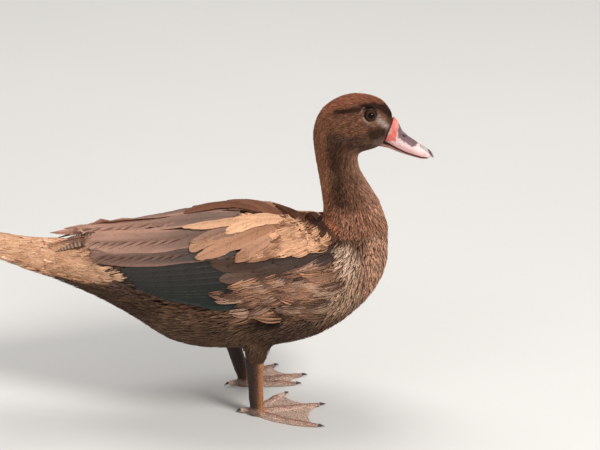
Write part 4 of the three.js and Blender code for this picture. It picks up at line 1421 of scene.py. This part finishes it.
eye_finish, start, shine = finish_of("eye", Roughness=0.06, Specular_IOR_Level=0.14, Coat_Weight=0.04)
across, sideways, upward = own_place(start).axes()
folded = start.out(start.node("ShaderNodeCombineXYZ", X=across, Y=0 - sideways.size(), Z=upward))
front = eye_centre + FACE_OUT * EYE_RADIUS
away = start.out(start.node("ShaderNodeVectorMath", {"operation": "DISTANCE"}, _0=folded, _1=front), 1)
fibres = folded.noise(1500, 3.0)
iris = start.node("ShaderNodeValToRGB", {"stops": [
    (0.0, (0.024, 0.009, 0.004, 1)), (0.6, (0.055, 0.020, 0.008, 1)), (1.0, (0.012, 0.006, 0.004, 1)),
]}, Fac=away.rise(*IRIS_SPAN))
pupil = 1 - away.rise(*PUPIL_EDGE)
rim = away.rise(*IRIS_EDGE)
colour = start.out(iris).lit(0.6 + fibres * 0.8).mixed((0.003, 0.002, 0.002, 1), pupil)
feed(shine, start, "Base Color", colour.mixed((0.03, 0.02, 0.016, 1), rim))
for side in ("right", "left"):
    eyeball(side).data.materials.append(eye_finish)


# ---- the bill ----
# Horn over bone: red skin at the root, a dark purple saddle round the nostrils, pale pink toward
# the tip, with a grey nail. Upper and lower halves meet along a dark gape line.
BILL_GRAIN = 0.55 * MM
BILL_PALE = paint(212, 182, 180)
BILL_MARKS = [
    ((230, 206, 202), [(212, 236), (219, 233)], 4, 3, 0.9),
    ((206, 158, 156), [(182, 243), (195, 238), (209, 233), (218, 230)], 2.2, 1.6, 0.9),
    ((92, 66, 72), [(198, 258), (197.5, 250), (201, 247), (206.5, 243.5)], 5.0, 1.0, 0.92),
    ((136, 112, 120), [(196, 253), (202, 250)], 1.0, 1.2, 0.6),
    ((204, 100, 88), [(186, 267), (189.5, 261), (189, 254), (188, 247)], 3.2, 0.8, 1.0),
    ((204, 104, 92), [(180, 246), (188, 248)], 3.0, 1.0, 1.0),
    ((196, 142, 124), [(184.5, 254), (186.5, 252)], 1.6, 1.2, 0.7),
    ((224, 140, 124), [(190.5, 262), (192.5, 258)], 1.4, 1.0, 0.7),
    # the nostril: painted shade in its opening
    ((26, 16, 18), [(197.6, 249.4), (199.8, 248.0)], 1.0, 0.5, 1.0),
]
BILL_SPECKLE = 1.3  # how far the marks' edges wander, in millimetres
BILL_CLOUD = 2 * MM
SADDLE = 0.06  # how far the upper bill's hollow is pressed in, as a part of its height
KNOB = 2.0 * MM  # how far the swollen red root stands up
KNOB_AT = 191.5 * MM
KNOB_HALF = 2.6 * MM
KNOB_HEIGHTS = (268 * MM, 276 * MM)  # it begins at the first, and is full at the second
SADDLE_SPAN = (188 * MM, 197 * MM)


def ridge_lift(place):
    """How far a place on the upper bill rises with the knob, less its fall into the saddle."""
    high = float(np.interp(place.z, KNOB_HEIGHTS, (0, 1)))
    swelling = KNOB * high * math.exp(-(((place.x - KNOB_AT) / KNOB_HALF) ** 2))
    over = place.z - (262 * MM - (place.x - 190 * MM) * 0.5)
    hollow = float(np.interp(place.x, SADDLE_SPAN, (0, SADDLE)))
    return swelling - max(0, over) * hollow


def horn_piece(name, node_name, grain, rounds):
    """A smooth piece of horn in place of a solid of the bill."""
    shape = fused([copy_of(node_name)], grain)
    keep_largest(shape)
    smooth(shape, rounds)
    for vert in shape.verts:
        vert.co.z += ridge_lift(vert.co)
    piece = joined([shape], name)
    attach(piece, "root")
    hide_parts(node_name)
    return piece


def bill_colours(points):
    """The bill's marks, with edges that wander."""
    card = card_of(points)
    card[:, 0] += clumps(points, BILL_CLOUD) * BILL_SPECKLE
    card[:, 1] += clumps(points + 0.5, BILL_CLOUD) * BILL_SPECKLE
    return painted(card, BILL_PALE, BILL_MARKS)


bill_finish, start, shine = finish_of("bill_horn", Specular_IOR_Level=0.45)
place = own_place(start)
cloud = place.noise(420, 3.0)
fine = place.stretched((1, 1, 2.5)).noise(1600, 2.0)
spots = place.noise(900, 2.0).rise(0.54, 0.64)
tone = (0.74 + cloud * 0.36 + fine * 0.14) * (1 - spots * 0.26)
feed(shine, start, "Base Color", attribute(start, "tint").lit(tone))
feed(shine, start, "Roughness", 0.34 + cloud * 0.2)
relief(shine, start, fine + cloud, 0.2 * MM, 0.5)
for half, dye in (("bill_upper", 1.0), ("bill_lower", paint(190, 158, 142))):
    piece = horn_piece(half + "_horn", half, BILL_GRAIN, 3)
    tinted(piece.data, bill_colours(points_of(piece.data)) * dye)
    piece.data.materials.append(bill_finish)


# ---- the nail and the claws ----
# Hard horn, lightly grooved: grey with a dark rim on the bill's nail, dark brown on the claws.
NAIL_GRAIN = 0.45 * MM
NAIL_RIM = [(221, 238), (224.5, 229)]
CLAW_GRAIN = 0.3 * MM
nail_finish, start, shine = finish_of("nail_horn", Specular_IOR_Level=0.5)
grooves = own_place(start).stretched((1, 3, 1)).noise(1200, 2.0)
feed(shine, start, "Base Color", attribute(start, "tint").lit(0.7 + grooves * 0.6))
feed(shine, start, "Roughness", 0.3 + grooves * 0.25)
relief(shine, start, grooves, 0.15 * MM, 0.6)
nail = horn_piece("nail", "bill_nail", NAIL_GRAIN, 2)
nail_marks = [((70, 60, 58), NAIL_RIM, 1.1, 0.8, 1.0)]
tinted(nail.data, painted(card_of(points_of(nail.data)), paint(176, 166, 162), nail_marks))
nail.data.materials.append(nail_finish)

claw_names = [name for name in nodes if name.startswith("claw_")]
claw_shapes = []
for name in claw_names:
    claw_shapes.append(fused([copy_of(name)], CLAW_GRAIN))
    smooth(claw_shapes[-1], 2)
claws = joined(claw_shapes, "claws")
tinted(claws.data, paint(70, 57, 50))
claws.data.materials.append(nail_finish)
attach(claws, "root")
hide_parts(*claw_names)


# ---- floor, light and camera ----
# A plain pale studio floor with broad soft lamps, and a long lens level with the bird's side.
VIEW_WIDTH = 558 * MM  # what the camera spans at the bird

camera_data = bpy.data.cameras.new("camera")
camera_data.sensor_width = 36
camera_data.lens = camera_data.sensor_width * CARD_FROM / VIEW_WIDTH
camera = placed("camera", camera_data)
camera.location = SIGHT
camera.rotation_euler = (math.radians(90) - CARD_TILT, 0, 0)
bpy.context.scene.camera = camera

floor_shape = bmesh.new()
bmesh.ops.create_grid(floor_shape, x_segments=1, y_segments=1, size=9)
floor = placed("floor", merged([floor_shape], "floor"))
floor_finish, start, shine = finish_of("floor_paint", Roughness=0.85, Specular_IOR_Level=0.2)
grain = own_place(start).noise(3, 4.0)
shade = start.node("ShaderNodeRGB")
shade.outputs[0].default_value = (0.62, 0.61, 0.59, 1)
feed(shine, start, "Base Color", start.out(shade).lit(0.97 + grain * 0.06))
floor.data.materials.append(floor_finish)


def lamp(name, place, size, power, warmth):
    """A round soft lamp turned to the bird."""
    data = bpy.data.lights.new(name, "AREA")
    data.shape = "DISK"
    data.size = size
    data.energy = power
    data.color = warmth
    item = placed(name, data)
    item.location = place
    item.rotation_euler = (CARD_MIDDLE - Vector(place)).to_track_quat("-Z", "Y").to_euler()
    item.visible_glossy = name == "key"  # only the key lamp shows in the eyes


lamp("key", (1.5, -1.3, 2.0), 0.9, 64, (1.0, 0.97, 0.94))
lamp("fill", (-1.9, -1.9, 1.0), 1.8, 20, (0.97, 0.98, 1.0))
lamp("top", (-0.2, 0.9, 2.4), 1.6, 34, (1.0, 0.99, 0.98))
world = bpy.data.worlds.new("studio")
world.use_nodes = True
sky = world.node_tree.nodes["Background"]
sky.inputs["Color"].default_value = (0.92, 0.92, 0.91, 1)
sky.inputs["Strength"].default_value = 0.42
bpy.context.scene.world = world
bpy.context.scene.view_settings.view_transform = "Standard"
bpy.context.scene.view_settings.look = "None"
